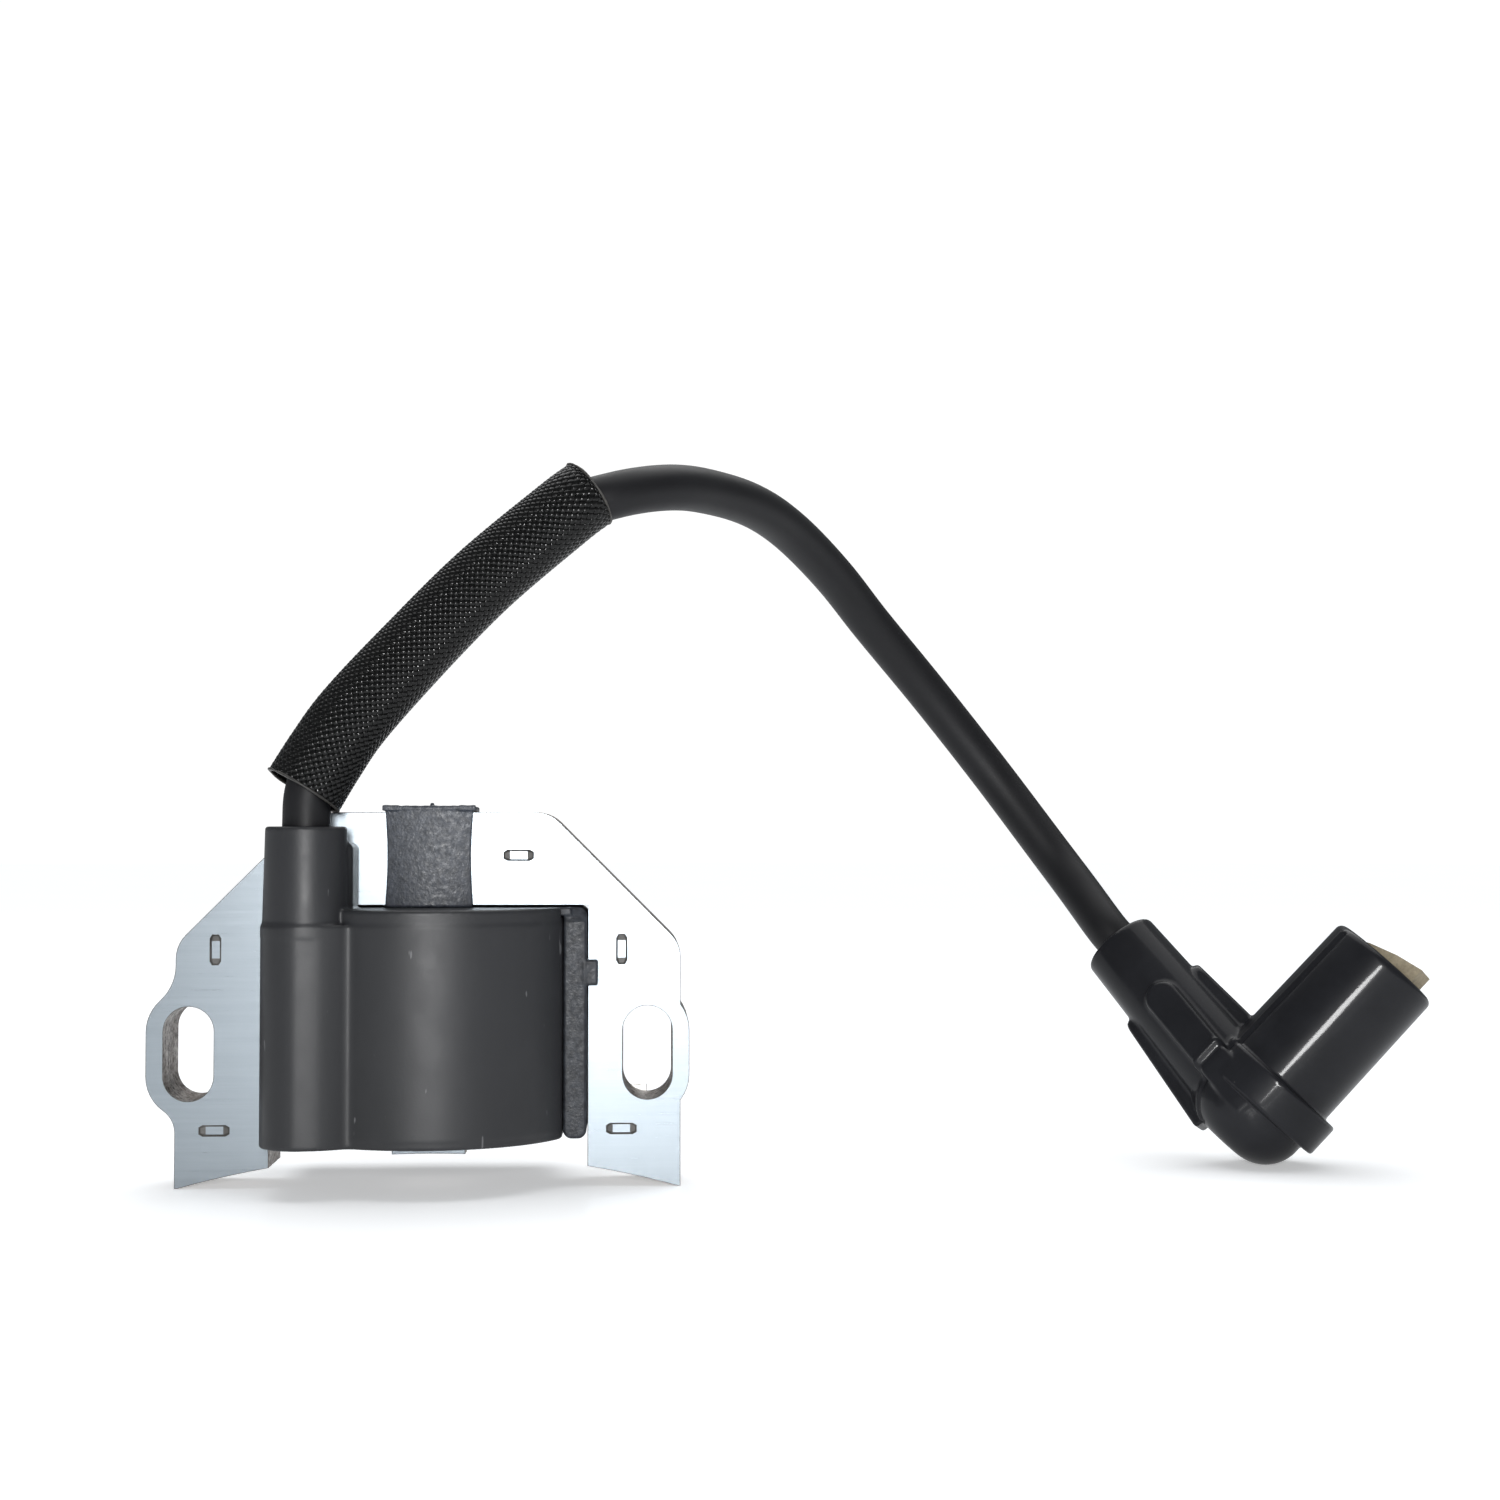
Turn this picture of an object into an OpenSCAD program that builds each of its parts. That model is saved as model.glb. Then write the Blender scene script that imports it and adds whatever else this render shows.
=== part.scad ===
// Ignition coil of a small engine: a laminated E core on its pole tips, a coil
// hung on the centre leg, and a high-tension lead ending in a spark plug boot.
// Units are millimetres. X runs across the core, Y is its thickness, Z is up.
// The origin is midway between the mounting slots, in the middle of the core's
// thickness, on the plane that the two outer pole tips stand on.

/* [Core] */
// Thickness of the lamination stack
core_t = 12; // [10:0.5:14]
// Width of the plates without their ears
core_w = 75.4; // [74:0.2:77]
// Height of the plates above the pole tips
core_h = 56.1; // [54:0.1:58]
// Width of each outer leg, and height of the yoke
leg_w = 14; // [12:0.5:15]
// Width of the centre leg that carries the windings
centre_leg_w = 11; // [9:0.5:12]
// Radius of the pole faces, a running gap more than the flywheel's
pole_r = 141; // [120:1:160]
// Size of the 45 degree cut at the top corners
corner_cut = 19.8; // [15:0.1:22]

/* [Mounting] */
// Distance between the two mounting slots
slot_spacing = 68.4; // [66:0.2:70]
// Width of the slots, for 6 mm bolts
slot_w = 7.4; // [6.5:0.1:8]
// Length of the slots, end to end
slot_len = 14; // [10:0.5:16]
// Height of the slots' middle above the pole tips
slot_z = 20; // [18:0.5:22]
// Wall left around a slot where it reaches past the plate's side
ear_wall = 2.65; // [2:0.05:3]

/* [Coil] */
// Height of the coil's underside above the pole tips
coil_bottom = 7.4; // [6:0.1:9]
// Height of the coil's top, just under the yoke
coil_top = 41.8; // [40:0.1:42]
// Radius of the round front of the case
barrel_r = 21.7; // [20:0.1:22]
// Thickness of the case walls
wall = 1.5; // [1.2:0.1:2]

/* [Tower and lead] */
// Height of the top of the high-tension tower
tower_top = 53.9; // [50:0.1:58]
// Radius of the tower at its top
tower_r = 5.9; // [5.5:0.1:6.5]
// Diameter of the high-tension lead
lead_d = 7; // [6.6:0.1:7]
// Diameter of the lead's conductor
conductor_d = 2; // [1.6:0.1:2]
// Outer diameter of the braided sleeve on the lead
sleeve_d = 11.4; // [10.8:0.1:11.6]
// Wall of the braided sleeve
sleeve_wall = 0.6; // [0.4:0.1:0.6]

/* [Plug boot] */
// Radius of the boot's barrel beside the elbow
boot_r = 9.7; // [9:0.1:10.5]
// Length of the barrel from the elbow's centre to its mouth
boot_len = 30.8; // [28:0.1:34]
// Length of the collar from the elbow's centre to the end that takes the lead
collar_len = 35; // [34:0.5:38]
// Radius of the hole that grips the plug's insulator
seal_r = 5.2; // [5:0.1:5.6]
// Radius of the clip's hole, for the plug's terminal nut
clip_r = 3.2; // [3.1:0.05:3.3]

/* [Hidden] */
$fn = 64;

half_t = core_t / 2;
core_x = 1.5;               // the plate's own middle lies right of the slots' middle
slot_r = slot_w / 2;
slot_arc_z = slot_len / 2 - slot_r;
ear_r = slot_r + ear_wall;
window_edge = core_w / 2 - leg_w;
window_top = core_h - leg_w;
tip_x = core_w / 2 - 0.5;   // where the pole arc meets the standing plane
pole_z = sqrt(pole_r * pole_r - tip_x * tip_x);
gap = 0.1;                  // between parts that slide together
skin = 0.05;                // between parts that are cast or wound together
past = 1;                   // how far a cutting solid runs past a face

// The six stakes that lock the plates: place from the plate's middle, height,
// and whether the stake lies along X.
stake_len = 4.6;
stake_w = 1.45;
stake_depth = 0.35;
stakes = [[-30.3, 8.6, true], [30.3, 8.6, true], [-30.3, 35.5, false],
          [30.3, 35.5, false], [-14.8, 49.6, true], [14.8, 49.6, true]];

// The coil, around the centre leg's axis.
case_left = core_x - window_edge + gap;
flange_right = core_x + window_edge - gap;
flange_t = 3.5;
case_right = flange_right - flange_t;
flange_front = half_t + 2.5;
tube_x = centre_leg_w + 0.4;
tube_y = core_t + 0.3;
tube_wall = 1.1;
primary_t = 2.4;
bobbin_wall = 1;
secondary_t = 4.6;
pack_corner = 11;           // rounding of the secondary winding, clear of the tower's post
winding_bottom = coil_bottom + 3;
winding_top = coil_top - 3;
section_count = 6;
rib_t = 0.8;
frame_top_t = 1.2;
strap_w = 13.1;
strap_t = 1.9;
strap_top = core_h + 1;

// The tower.
tower_x = -15.7;
tower_y = -15;
column_r = 6.5;
shoulder_z = 39.7;
lead_seat = 36;
terminal_r = 2;

// The electronics at the back of the case.
board_y = 17.2;
board_t = 1.2;
board_x = [-17, 19];
board_z = [12, 37];
resin_back = barrel_r - 0.7;

// The boot: its elbow's centre, a point on the collar's axis and one on the barrel's.
elbow = [131.5, 13, 9.55];
collar_point = [113.5, 29, 34.05];
mouth_point = [151.8, 9.6, 32.1];
collar_dir = unit(collar_point - elbow);
barrel_dir = unit(mouth_point - elbow);
boot_side = unit(cross(collar_dir, barrel_dir));
outward = unit(cross(barrel_dir, boot_side));
collar_r = 6.35;
mouth_r = 9.35;
dome_depth = 7.8;
dome_fillet = 6.7;
band_r = 11;
band_w = 5.7;
band_shift = 0.6;
rib_w = 5.6;
lead_end = 11;              // from the elbow's centre, along the collar

// The lead's route: up out of the tower, over in an arch that bows backwards, and
// down into the boot's collar. Chosen points, joined by a smooth curve.
lead_route = concat([
    [tower_x, tower_y, lead_seat], [tower_x, tower_y, 45], [tower_x, tower_y, 54],
    [-15.3, -15, 59.3], [-13.1, -15, 64.5], [-9, -15, 70], [-1.5, -14.5, 78.5],
    [9.5, -13.5, 90], [21, -12.5, 100], [29, -11.5, 103.3], [37.5, -5, 105.5],
    [44.5, 4, 106], [51.5, 13, 105], [58, 22, 102], [65.5, 31, 96],
    [72.5, 37.5, 88.5], [83, 43.5, 77], [93.5, 45, 64], [103, 41, 50.5],
    [107.5, 36.5, 43.5]],
    [for (s = [39, 35, 27, 19, lead_end]) elbow + s * collar_dir]);
lead_path = smooth(lead_route, 2);

// The sleeve's own route, straighter than the lead's at both ends.
sleeve_route = [[-15.9, -15, 59.5], [-12.9, -15, 64.4], [-9, -15, 70], [-1.5, -14.5, 78.5],
                [9.5, -13.5, 90], [21.2, -12.9, 100.1], [24.9, -11.9, 103.1]];
sleeve_path = smooth(sleeve_route, 3);

// Vectors and curves

function unit(v) = v / norm(v);

// A Catmull-Rom curve through the points, with steps pieces between each pair.
function smooth(p, steps) =
    let (n = len(p))
    concat([for (i = [0 : n - 2], k = [0 : steps - 1])
                blend(p[max(i - 1, 0)], p[i], p[i + 1], p[min(i + 2, n - 1)], k / steps)],
           [p[n - 1]]);

function blend(a, b, c, d, t) =
    0.5 * (2 * b + (c - a) * t + (2 * a - 5 * b + 4 * c - d) * t * t
           + (3 * b - a - 3 * c + d) * t * t * t);

function tangent(p, i) = unit(p[min(i + 1, len(p) - 1)] - p[max(i - 1, 0)]);

function ring(centre, along, r, sides) =
    let (u = unit(cross([0, 1, 0], along)), v = cross(along, u))
    [for (k = [0 : sides - 1]) centre + r * (cos(360 * k / sides) * u + sin(360 * k / sides) * v)];

function arc(x, y, r, from, to, n) =
    [for (k = [0 : n]) let (a = from + (to - from) * k / n) [x + r * cos(a), y + r * sin(a)]];

// A pipe swept along a path: two skins of rings, closed by a flat rim at each end.
module pipe(path, r_out, r_in, sides) {
    n = len(path);
    outer = [for (i = [0 : n - 1]) each ring(path[i], tangent(path, i), r_out, sides)];
    inner = [for (i = [0 : n - 1]) each ring(path[i], tangent(path, i), r_in, sides)];
    shift = n * sides;
    last = (n - 1) * sides;
    skins = [for (i = [0 : n - 2], k = [0 : sides - 1])
        let (a = i * sides + k, b = i * sides + (k + 1) % sides)
        each [[a, a + sides, b + sides, b],
              [shift + b, shift + b + sides, shift + a + sides, shift + a]]];
    rims = [for (k = [0 : sides - 1]) let (m = (k + 1) % sides)
        each [[k, m, shift + m, shift + k],
              [last + m, last + k, shift + last + k, shift + last + m]]];
    polyhedron(concat(outer, inner), concat(skins, rims), convexity = 8);
}

// A solid cord swept along a path.
module cord(path, r, sides) {
    n = len(path);
    points = [for (i = [0 : n - 1]) each ring(path[i], tangent(path, i), r, sides)];
    skin_faces = [for (i = [0 : n - 2], k = [0 : sides - 1])
        let (a = i * sides + k, b = i * sides + (k + 1) % sides)
        [a, a + sides, b + sides, b]];
    start = [for (k = [0 : sides - 1]) k];
    end = [for (k = [sides - 1 : -1 : 0]) (n - 1) * sides + k];
    polyhedron(points, concat(skin_faces, [start, end]), convexity = 8);
}

// Places children at a point with their Z axis along dir and their X axis facing side.
module aim(point, dir, side) {
    tilt = acos(dir[2]);
    turn = atan2(dir[1], dir[0]);
    x_axis = [cos(tilt) * cos(turn), cos(tilt) * sin(turn), -sin(tilt)];
    y_axis = [-sin(turn), cos(turn), 0];
    translate(point)
        rotate([0, tilt, turn])
            rotate([0, 0, atan2(side * y_axis, side * x_axis)])
                children();
}

module rounded_rect(w, d, r) {
    square([w - 2 * r, d], center = true);
    square([w, d - 2 * r], center = true);
    for (x = [-1, 1], y = [-1, 1])
        translate([x * (w / 2 - r), y * (d / 2 - r)])
            circle(r);
}

// A prism around the centre leg's axis, between two heights.
module around_leg(w, d, r, bottom, top) {
    translate([core_x, 0, bottom])
        linear_extrude(top - bottom)
            rounded_rect(w, d, r);
}

// A box from its lowest corner to its highest.
module block(low, high) {
    translate(low)
        cube(high - low);
}

// Stands an outline drawn in X and Z up, and gives it a thickness about Y = 0.
module upright(t) {
    rotate([90, 0, 0])
        linear_extrude(t, center = true)
            children();
}

// Core

// The rise from an ear's arc to the round web, of radius r, that joins it to the left side.
function web_reach(r) = r - slot_spacing / 2 - (core_x - core_w / 2);
function web_rise(r) = sqrt(pow(ear_r + r, 2) - pow(web_reach(r), 2));

// One plate: square tips, cut corners with rounded bends, and an ear on each side. The
// right ear only laps the plate's side, and the left one joins it through two round webs.
module plate_outline() {
    left = core_x - core_w / 2;
    right = core_x + core_w / 2;
    side_top = core_h - corner_cut;
    bend_r = 5;
    bend = bend_r * tan(22.5);
    ear_x = slot_spacing / 2;
    ear_low = slot_z - slot_arc_z;
    ear_high = slot_z + slot_arc_z;
    lap = acos((right - ear_x) / ear_r);
    web_r = [4, 7];
    turn = [for (r = web_r) atan2(web_rise(r), web_reach(r))];
    difference() {
        polygon(concat(
            [[left, 0], [right, 0]],
            arc(ear_x, ear_low, ear_r, -lap, 0, 4),
            arc(ear_x, ear_high, ear_r, 0, lap, 4),
            arc(right - bend_r, side_top - bend, bend_r, 0, 45, 5),
            arc(right - corner_cut - bend, core_h - bend_r, bend_r, 45, 90, 5),
            arc(left + corner_cut + bend, core_h - bend_r, bend_r, 90, 135, 5),
            arc(left + bend_r, side_top - bend, bend_r, 135, 180, 5),
            arc(left - web_r[1], ear_high + web_rise(web_r[1]), web_r[1], 0, -turn[1], 7),
            arc(-ear_x, ear_high, ear_r, 180 - turn[1], 180, 6),
            arc(-ear_x, ear_low, ear_r, 180, 180 + turn[0], 6),
            arc(left - web_r[0], ear_low - web_rise(web_r[0]), web_r[0], turn[0], 0, 7)));
        translate([core_x, -pole_z])
            circle(pole_r, $fn = 720);
        for (side = [-1, 1])
            translate([core_x + side * (window_edge + centre_leg_w / 2) / 2, 0])
                square([window_edge - centre_leg_w / 2, 2 * window_top], center = true);
    }
}

module slot(r) {
    square([2 * r, 2 * slot_arc_z], center = true);
    for (end = [-1, 1])
        translate([0, end * slot_arc_z])
            circle(r);
}

// A pressed stake: straight sides, and ends that slope down to its floor.
module stake(depth, along_x) {
    slope = 1;
    rotate([0, along_x ? 0 : 90, 0])
        linear_extrude(stake_w, center = true)
            polygon([[-stake_len / 2, -past], [-stake_len / 2, 0], [slope - stake_len / 2, depth],
                     [stake_len / 2 - slope, depth], [stake_len / 2, 0], [stake_len / 2, -past]]);
}

module core_stack() {
    color([0.70, 0.72, 0.74])
    difference() {
        upright(core_t)
            difference() {
                plate_outline();
                for (side = [-1, 1])
                    translate([side * slot_spacing / 2, slot_z])
                        slot(slot_r);
            }
        for (s = stakes)
            translate([core_x + s[0], -half_t, s[1]])
                stake(stake_depth, s[2]);
    }
}

// Coil

// The frame that grips the core: a tube on the centre leg, a plate under the yoke, and
// the side flange with the key that laps over the right leg.
module bobbin_frame() {
    key_w = 1.55;
    key_z = [30.2, 34];
    color([0.16, 0.17, 0.20])
    difference() {
        union() {
            around_leg(tube_x + 2 * tube_wall, tube_y + 2 * tube_wall, 1.5, coil_bottom, coil_top);
            block([core_x, -flange_front, coil_top - frame_top_t], [flange_right, flange_front, coil_top]);
            block([case_right, -flange_front, coil_bottom], [flange_right, flange_front, coil_top]);
            block([flange_right, -flange_front, key_z[0]],
                  [flange_right + key_w + gap, -half_t - skin, key_z[1]]);
        }
        around_leg(tube_x, tube_y, 0.3, coil_bottom - past, coil_top + past);
    }
}

// The strap over the yoke: a front leg, a bridge and a back leg.
module saddle_strap() {
    outer = half_t + strap_t;
    color([0.16, 0.17, 0.20])
    difference() {
        block([core_x - strap_w / 2, -outer, coil_top + skin], [core_x + strap_w / 2, outer, strap_top]);
        block([core_x - strap_w, -half_t - skin, 0], [core_x + strap_w, half_t + skin, core_h + skin]);
    }
}

// The case's plan, grown or shrunk by d: round barrel in front, square tub behind,
// and the column under the tower.
module case_plan(d) {
    corner = 3 + d;
    intersection() {
        translate([core_x, 0])
            circle(barrel_r + d, $fn = 128);
        translate([case_left - d, -barrel_r - d])
            square([case_right - case_left + 2 * d, barrel_r + d]);
    }
    translate([(case_left + case_right) / 2, barrel_r / 2])
        rounded_rect(case_right - case_left + 2 * d, barrel_r + 2 * d, corner);
    translate([case_left - d, 0])
        square([case_right - case_left + 2 * d, barrel_r / 2]);
    translate([case_left - d, tower_y])
        square([column_r + d, -tower_y]);
    translate([tower_x, tower_y])
        circle(column_r + d);
}

module case_body() {
    web_top = 51.5;
    web_side = 5.6;
    translate([0, 0, coil_bottom])
        linear_extrude(shoulder_z - coil_bottom)
            case_plan(0);
    translate([0, 0, shoulder_z])
        linear_extrude(coil_top - shoulder_z)
            intersection() {
                case_plan(0);
                translate([case_left + column_r, -2 * barrel_r])
                    square([4 * barrel_r, 4 * barrel_r]);
            }
    block([case_left, tower_y, shoulder_z - past], [0, resin_back, coil_top]);
    translate([tower_x, tower_y, shoulder_z - past])
        cylinder(h = tower_top - shoulder_z + past, r1 = tower_r + 0.4, r2 = tower_r);
    block([tower_x - web_side, tower_y, coil_top - past], [tower_x + web_side + 1.2, -half_t - 1, web_top]);
}

module coil_case() {
    seat_r = lead_d / 2 + 0.6;
    post_r = 5.4;
    color([0.12, 0.13, 0.14])
    difference() {
        case_body();
        difference() {
            translate([0, 0, coil_bottom + wall])
                linear_extrude(coil_top - coil_bottom - 2 * wall)
                    case_plan(-wall);
            translate([tower_x, tower_y, lead_seat - wall])
                cylinder(h = tower_top, r = post_r);
        }
        block([case_left + wall, barrel_r - 2 * wall, coil_bottom + wall],
              [case_right - wall, barrel_r + past, coil_top - wall]);
        around_leg(tube_x + 2 * tube_wall + gap, tube_y + 2 * tube_wall + gap, 1.5, 0, core_h);
        block([core_x - past, -flange_front - gap, coil_top - frame_top_t - gap],
              [case_right + past, flange_front + gap, coil_top + past]);
        translate([tower_x, tower_y, lead_seat])
            cylinder(h = tower_top, r = seat_r);
        translate([tower_x, tower_y, 0.5 * lead_seat])
            cylinder(h = lead_seat, r = terminal_r + skin);
        block([stop_x - 3.2, board_y - 0.95, coil_top - 2 * wall], [stop_x + 3.2, board_y, coil_top + past]);
        block([case_right - 2 * wall, 18.75, 9.95], [case_right + past, 19.25, 14.05]);
    }
}

primary_x = tube_x + 2 * tube_wall + 2 * gap;
primary_y = tube_y + 2 * tube_wall + 2 * gap;
secondary_x = primary_x + 2 * primary_t + 2 * gap;
secondary_y = primary_y + 2 * primary_t + 2 * gap;
pack_x = secondary_x + 2 * bobbin_wall + 2 * secondary_t;
pack_y = secondary_y + 2 * bobbin_wall + 2 * secondary_t;
section_pitch = (winding_top - winding_bottom - rib_t) / section_count;

module primary_winding() {
    color([0.72, 0.38, 0.18])
    difference() {
        around_leg(primary_x + 2 * primary_t, primary_y + 2 * primary_t, 4, winding_bottom, winding_top);
        around_leg(primary_x, primary_y, 1.6, 0, core_h);
    }
}

module secondary_bobbin() {
    color([0.86, 0.84, 0.76])
    difference() {
        union() {
            around_leg(secondary_x + 2 * bobbin_wall, secondary_y + 2 * bobbin_wall, 5,
                       winding_bottom, winding_top);
            for (k = [0 : section_count])
                around_leg(pack_x + 0.8, pack_y + 0.8, pack_corner + 0.4,
                           winding_bottom + k * section_pitch,
                           winding_bottom + k * section_pitch + rib_t);
        }
        around_leg(secondary_x, secondary_y, 4, 0, core_h);
    }
}

module secondary_winding() {
    color([0.62, 0.30, 0.12])
    for (k = [0 : section_count - 1])
        difference() {
            around_leg(pack_x, pack_y, pack_corner,
                       winding_bottom + rib_t + k * section_pitch + skin,
                       winding_bottom + (k + 1) * section_pitch - skin);
            around_leg(secondary_x + 2 * bobbin_wall + skin, secondary_y + 2 * bobbin_wall + skin, 5,
                       0, core_h);
        }
}

// Electronics

stop_x = -11;
transistor_low = [-2, board_y + board_t + skin, 20];
transistor_high = [8, board_y + board_t + 2.2, 33];
resistor_x = -9;
diode_x = 13.5;
part_r = 0.95;
part_y = board_y + board_t + part_r + skin;

module trigger_board() {
    color([0.20, 0.36, 0.20])
    difference() {
        block([board_x[0], board_y, board_z[0]], [board_x[1], board_y + board_t, board_z[1]]);
        for (x = [resistor_x, diode_x], z = [17, 27])
            translate([x, board_y - past, z])
                rotate([-90, 0, 0])
                    cylinder(h = board_t + 2 * past, r = 0.4);
    }
}

module power_transistor() {
    color([0.10, 0.10, 0.11])
    block(transistor_low, transistor_high);
    color([0.75, 0.75, 0.76])
    for (x = [0.5, 3, 5.5])
        block([x - 0.35, transistor_low[1], 15], [x + 0.35, transistor_low[1] + 0.5, transistor_low[2]]);
}

// A round part that lies along Z on the board.
module axial_part(x, low, high) {
    translate([x, part_y, low])
        cylinder(h = high - low, r = part_r);
    translate([x, part_y, low - 2.5])
        cylinder(h = high - low + 5, r = 0.3);
}

module trigger_resistor() {
    color([0.72, 0.60, 0.42])
    axial_part(resistor_x, 19, 25.5);
}

module trigger_diode() {
    color([0.14, 0.14, 0.15])
    axial_part(diode_x, 19.5, 24.5);
}

// The earth strip, from the board out through the flange and on to the back of the right leg.
strip_z = [10, 14];
strip_t = 0.4;
module ground_strip() {
    strip_y = 18.8;
    out_x = flange_right + skin;
    color([0.78, 0.76, 0.70])
    difference() {
        union() {
            block([board_x[1] - 1, strip_y, strip_z[0]], [out_x + strip_t, strip_y + strip_t, strip_z[1]]);
            block([out_x, half_t + skin, strip_z[0]], [out_x + strip_t, strip_y + strip_t, strip_z[1]]);
            block([out_x, half_t + skin, strip_z[0]], [out_x + 9, half_t + skin + strip_t, strip_z[1]]);
        }
        translate([out_x + 6, 0, (strip_z[0] + strip_z[1]) / 2])
            rotate([-90, 0, 0])
                cylinder(h = core_t, r = 1);
    }
}

// The blade for the engine's stop switch, standing up behind the yoke.
module stop_terminal() {
    blade_w = 6.3;
    blade_y = [board_y - 0.85, board_y - 0.05];
    color([0.80, 0.68, 0.36])
    difference() {
        union() {
            block([stop_x - blade_w / 2, blade_y[0], 30], [stop_x + blade_w / 2, blade_y[1], 49.5]);
            block([stop_x - blade_w / 2 + 1, blade_y[0], 49], [stop_x + blade_w / 2 - 1, blade_y[1], 50.5]);
        }
        translate([stop_x, 0, 46.5])
            rotate([-90, 0, 0])
                cylinder(h = 2 * barrel_r, r = 0.9);
    }
}

// The resin that fills the back of the tub, round the board and its parts.
module potting_resin() {
    front = 16.3;
    color([0.05, 0.05, 0.06])
    difference() {
        block([case_left + wall + skin, front, coil_bottom + wall + skin],
              [case_right - wall - skin, resin_back, coil_top - wall - skin]);
        block([board_x[0] - skin, board_y - skin, board_z[0] - skin],
              [board_x[1] + skin, board_y + board_t + skin, board_z[1] + skin]);
        block([transistor_low[0] - skin, board_y, 14.9],
              [transistor_high[0] + skin, transistor_high[1] + skin, transistor_high[2] + skin]);
        for (x = [resistor_x, diode_x])
            block([x - part_r - skin, board_y, 16.4], [x + part_r + skin, part_y + part_r + skin, 28.1]);
        block([stop_x - 3.2, 0, 29.9], [stop_x + 3.2, board_y + skin, core_h]);
        block([board_x[1] - 1.1, 18.75, strip_z[0] - skin], [core_w, 19.25, strip_z[1] + skin]);
    }
}

// High tension

// The terminal at the foot of the tower: a disc, and the spike that enters the lead.
module tower_terminal() {
    color([0.80, 0.66, 0.32])
    translate([tower_x, tower_y, 0]) {
        translate([0, 0, lead_seat - 6])
            cylinder(h = 6 - skin, r = terminal_r);
        translate([0, 0, lead_seat - skin - 0.5])
            cylinder(h = 6.5, r = conductor_d / 2 - 0.1);
    }
}

// The wire from the end of the secondary to the tower's terminal.
module link_wire() {
    wire_r = 0.35;
    wire_z = 31.5;
    corner = [core_x - pack_x / 2 + pack_corner, pack_corner - pack_y / 2, wire_z];
    foot = [tower_x, tower_y, wire_z];
    dir = unit(foot - corner);
    start = corner + (pack_corner + wire_r) * dir;
    color([0.72, 0.40, 0.20])
    aim(start, dir, [0, 0, 1])
        cylinder(h = norm(foot - start) - terminal_r - skin, r = wire_r);
}

// The ring of sealing compound that holds the lead in the tower.
module tower_seal() {
    color([0.06, 0.06, 0.07])
    translate([tower_x, tower_y, 0])
        difference() {
            translate([0, 0, lead_seat + 4])
                cylinder(h = tower_top - lead_seat - 4.6, r = lead_d / 2 + 0.55);
            translate([0, 0, lead_seat])
                cylinder(h = core_h, r = lead_d / 2 + skin);
        }
}

module lead_jacket() {
    color([0.10, 0.10, 0.11])
    pipe(lead_path, lead_d / 2, conductor_d / 2, 12);
}

// The conductor stops short of the spike at one end and of the boot's pin at the other.
module lead_conductor() {
    color([0.72, 0.42, 0.22])
    cord([for (i = [2 : len(lead_path) - 4]) lead_path[i]], conductor_d / 2 - skin, 8);
}

module braided_sleeve() {
    color([0.07, 0.07, 0.08])
    pipe(sleeve_path, sleeve_d / 2, sleeve_d / 2 - sleeve_wall, 12);
}

// Plug boot

// The barrel's wall in section: a flat, rounded foot and a slightly tapered side.
module barrel_profile() {
    lip = 0.9;
    flat = boot_r - dome_fillet;
    polygon(concat(
        [[0, -dome_depth]],
        arc(flat, dome_fillet - dome_depth, dome_fillet, -90, 0, 12),
        arc(mouth_r - lip, boot_len - lip, lip, 0, 90, 5),
        [[0, boot_len]]));
}

module boot_outside() {
    rib_start = collar_len - 11.5;
    aim(elbow, barrel_dir, outward)
        rotate_extrude($fn = 96)
            barrel_profile();
    aim(elbow, barrel_dir, outward)
        translate([-band_shift, 0, 0])
            cylinder(h = band_w, r = band_r, $fn = 96);
    aim(elbow, collar_dir, boot_side) {
        cylinder(h = collar_len - 0.8, r1 = collar_r + 1.2, r2 = collar_r + 0.05);
        translate([0, 0, collar_len - 0.8])
            cylinder(h = 0.8, r1 = collar_r + 0.05, r2 = collar_r - 0.6);
        for (turn = [0, 90])
            rotate([0, 0, turn])
                hull() {
                    translate([0, 0, rib_start - 0.5])
                        cube([2 * collar_r + 3, rib_w, 1], center = true);
                    translate([0, 0, 1])
                        cube([2 * boot_r - 0.6, rib_w, 2], center = true);
                }
    }
}

module plug_boot() {
    color([0.09, 0.09, 0.10])
    difference() {
        boot_outside();
        aim(elbow, collar_dir, boot_side)
            translate([0, 0, lead_end - 0.3])
                cylinder(h = collar_len, r = lead_d / 2 + 0.05);
        aim(elbow, collar_dir, boot_side)
            cylinder(h = lead_end + past, r = 1.3);
        aim(elbow, barrel_dir, outward) {
            translate([0, 0, -2.6])
                cylinder(h = 16, r = clip_r + 1);
            translate([0, 0, 13])
                cylinder(h = boot_len, r = seal_r);
            translate([0, 0, 19])
                cylinder(h = boot_len, r = 6.9);
        }
    }
}

// The pin from the clip's seat along the collar into the lead's conductor.
module contact_pin() {
    color([0.80, 0.66, 0.32])
    aim(elbow, collar_dir, boot_side)
        translate([0, 0, clip_r + 1.4])
            cylinder(h = 18 - clip_r - 1.4, r = conductor_d / 2 - 0.1);
}

// The spring clip that snaps over the plug's terminal nut: a slit tube on a base.
module plug_clip() {
    slit = 1.2;
    color([0.72, 0.72, 0.70])
    aim(elbow, barrel_dir, outward)
        difference() {
            translate([0, 0, -2.5])
                cylinder(h = 14, r = clip_r + 0.9);
            translate([0, 0, 3.5])
                cylinder(h = 14, r = clip_r);
            for (turn = [0, 90])
                rotate([0, 0, turn])
                    translate([-2 * clip_r, -slit / 2, 5])
                        cube([4 * clip_r, slit, 14]);
        }
}

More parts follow.
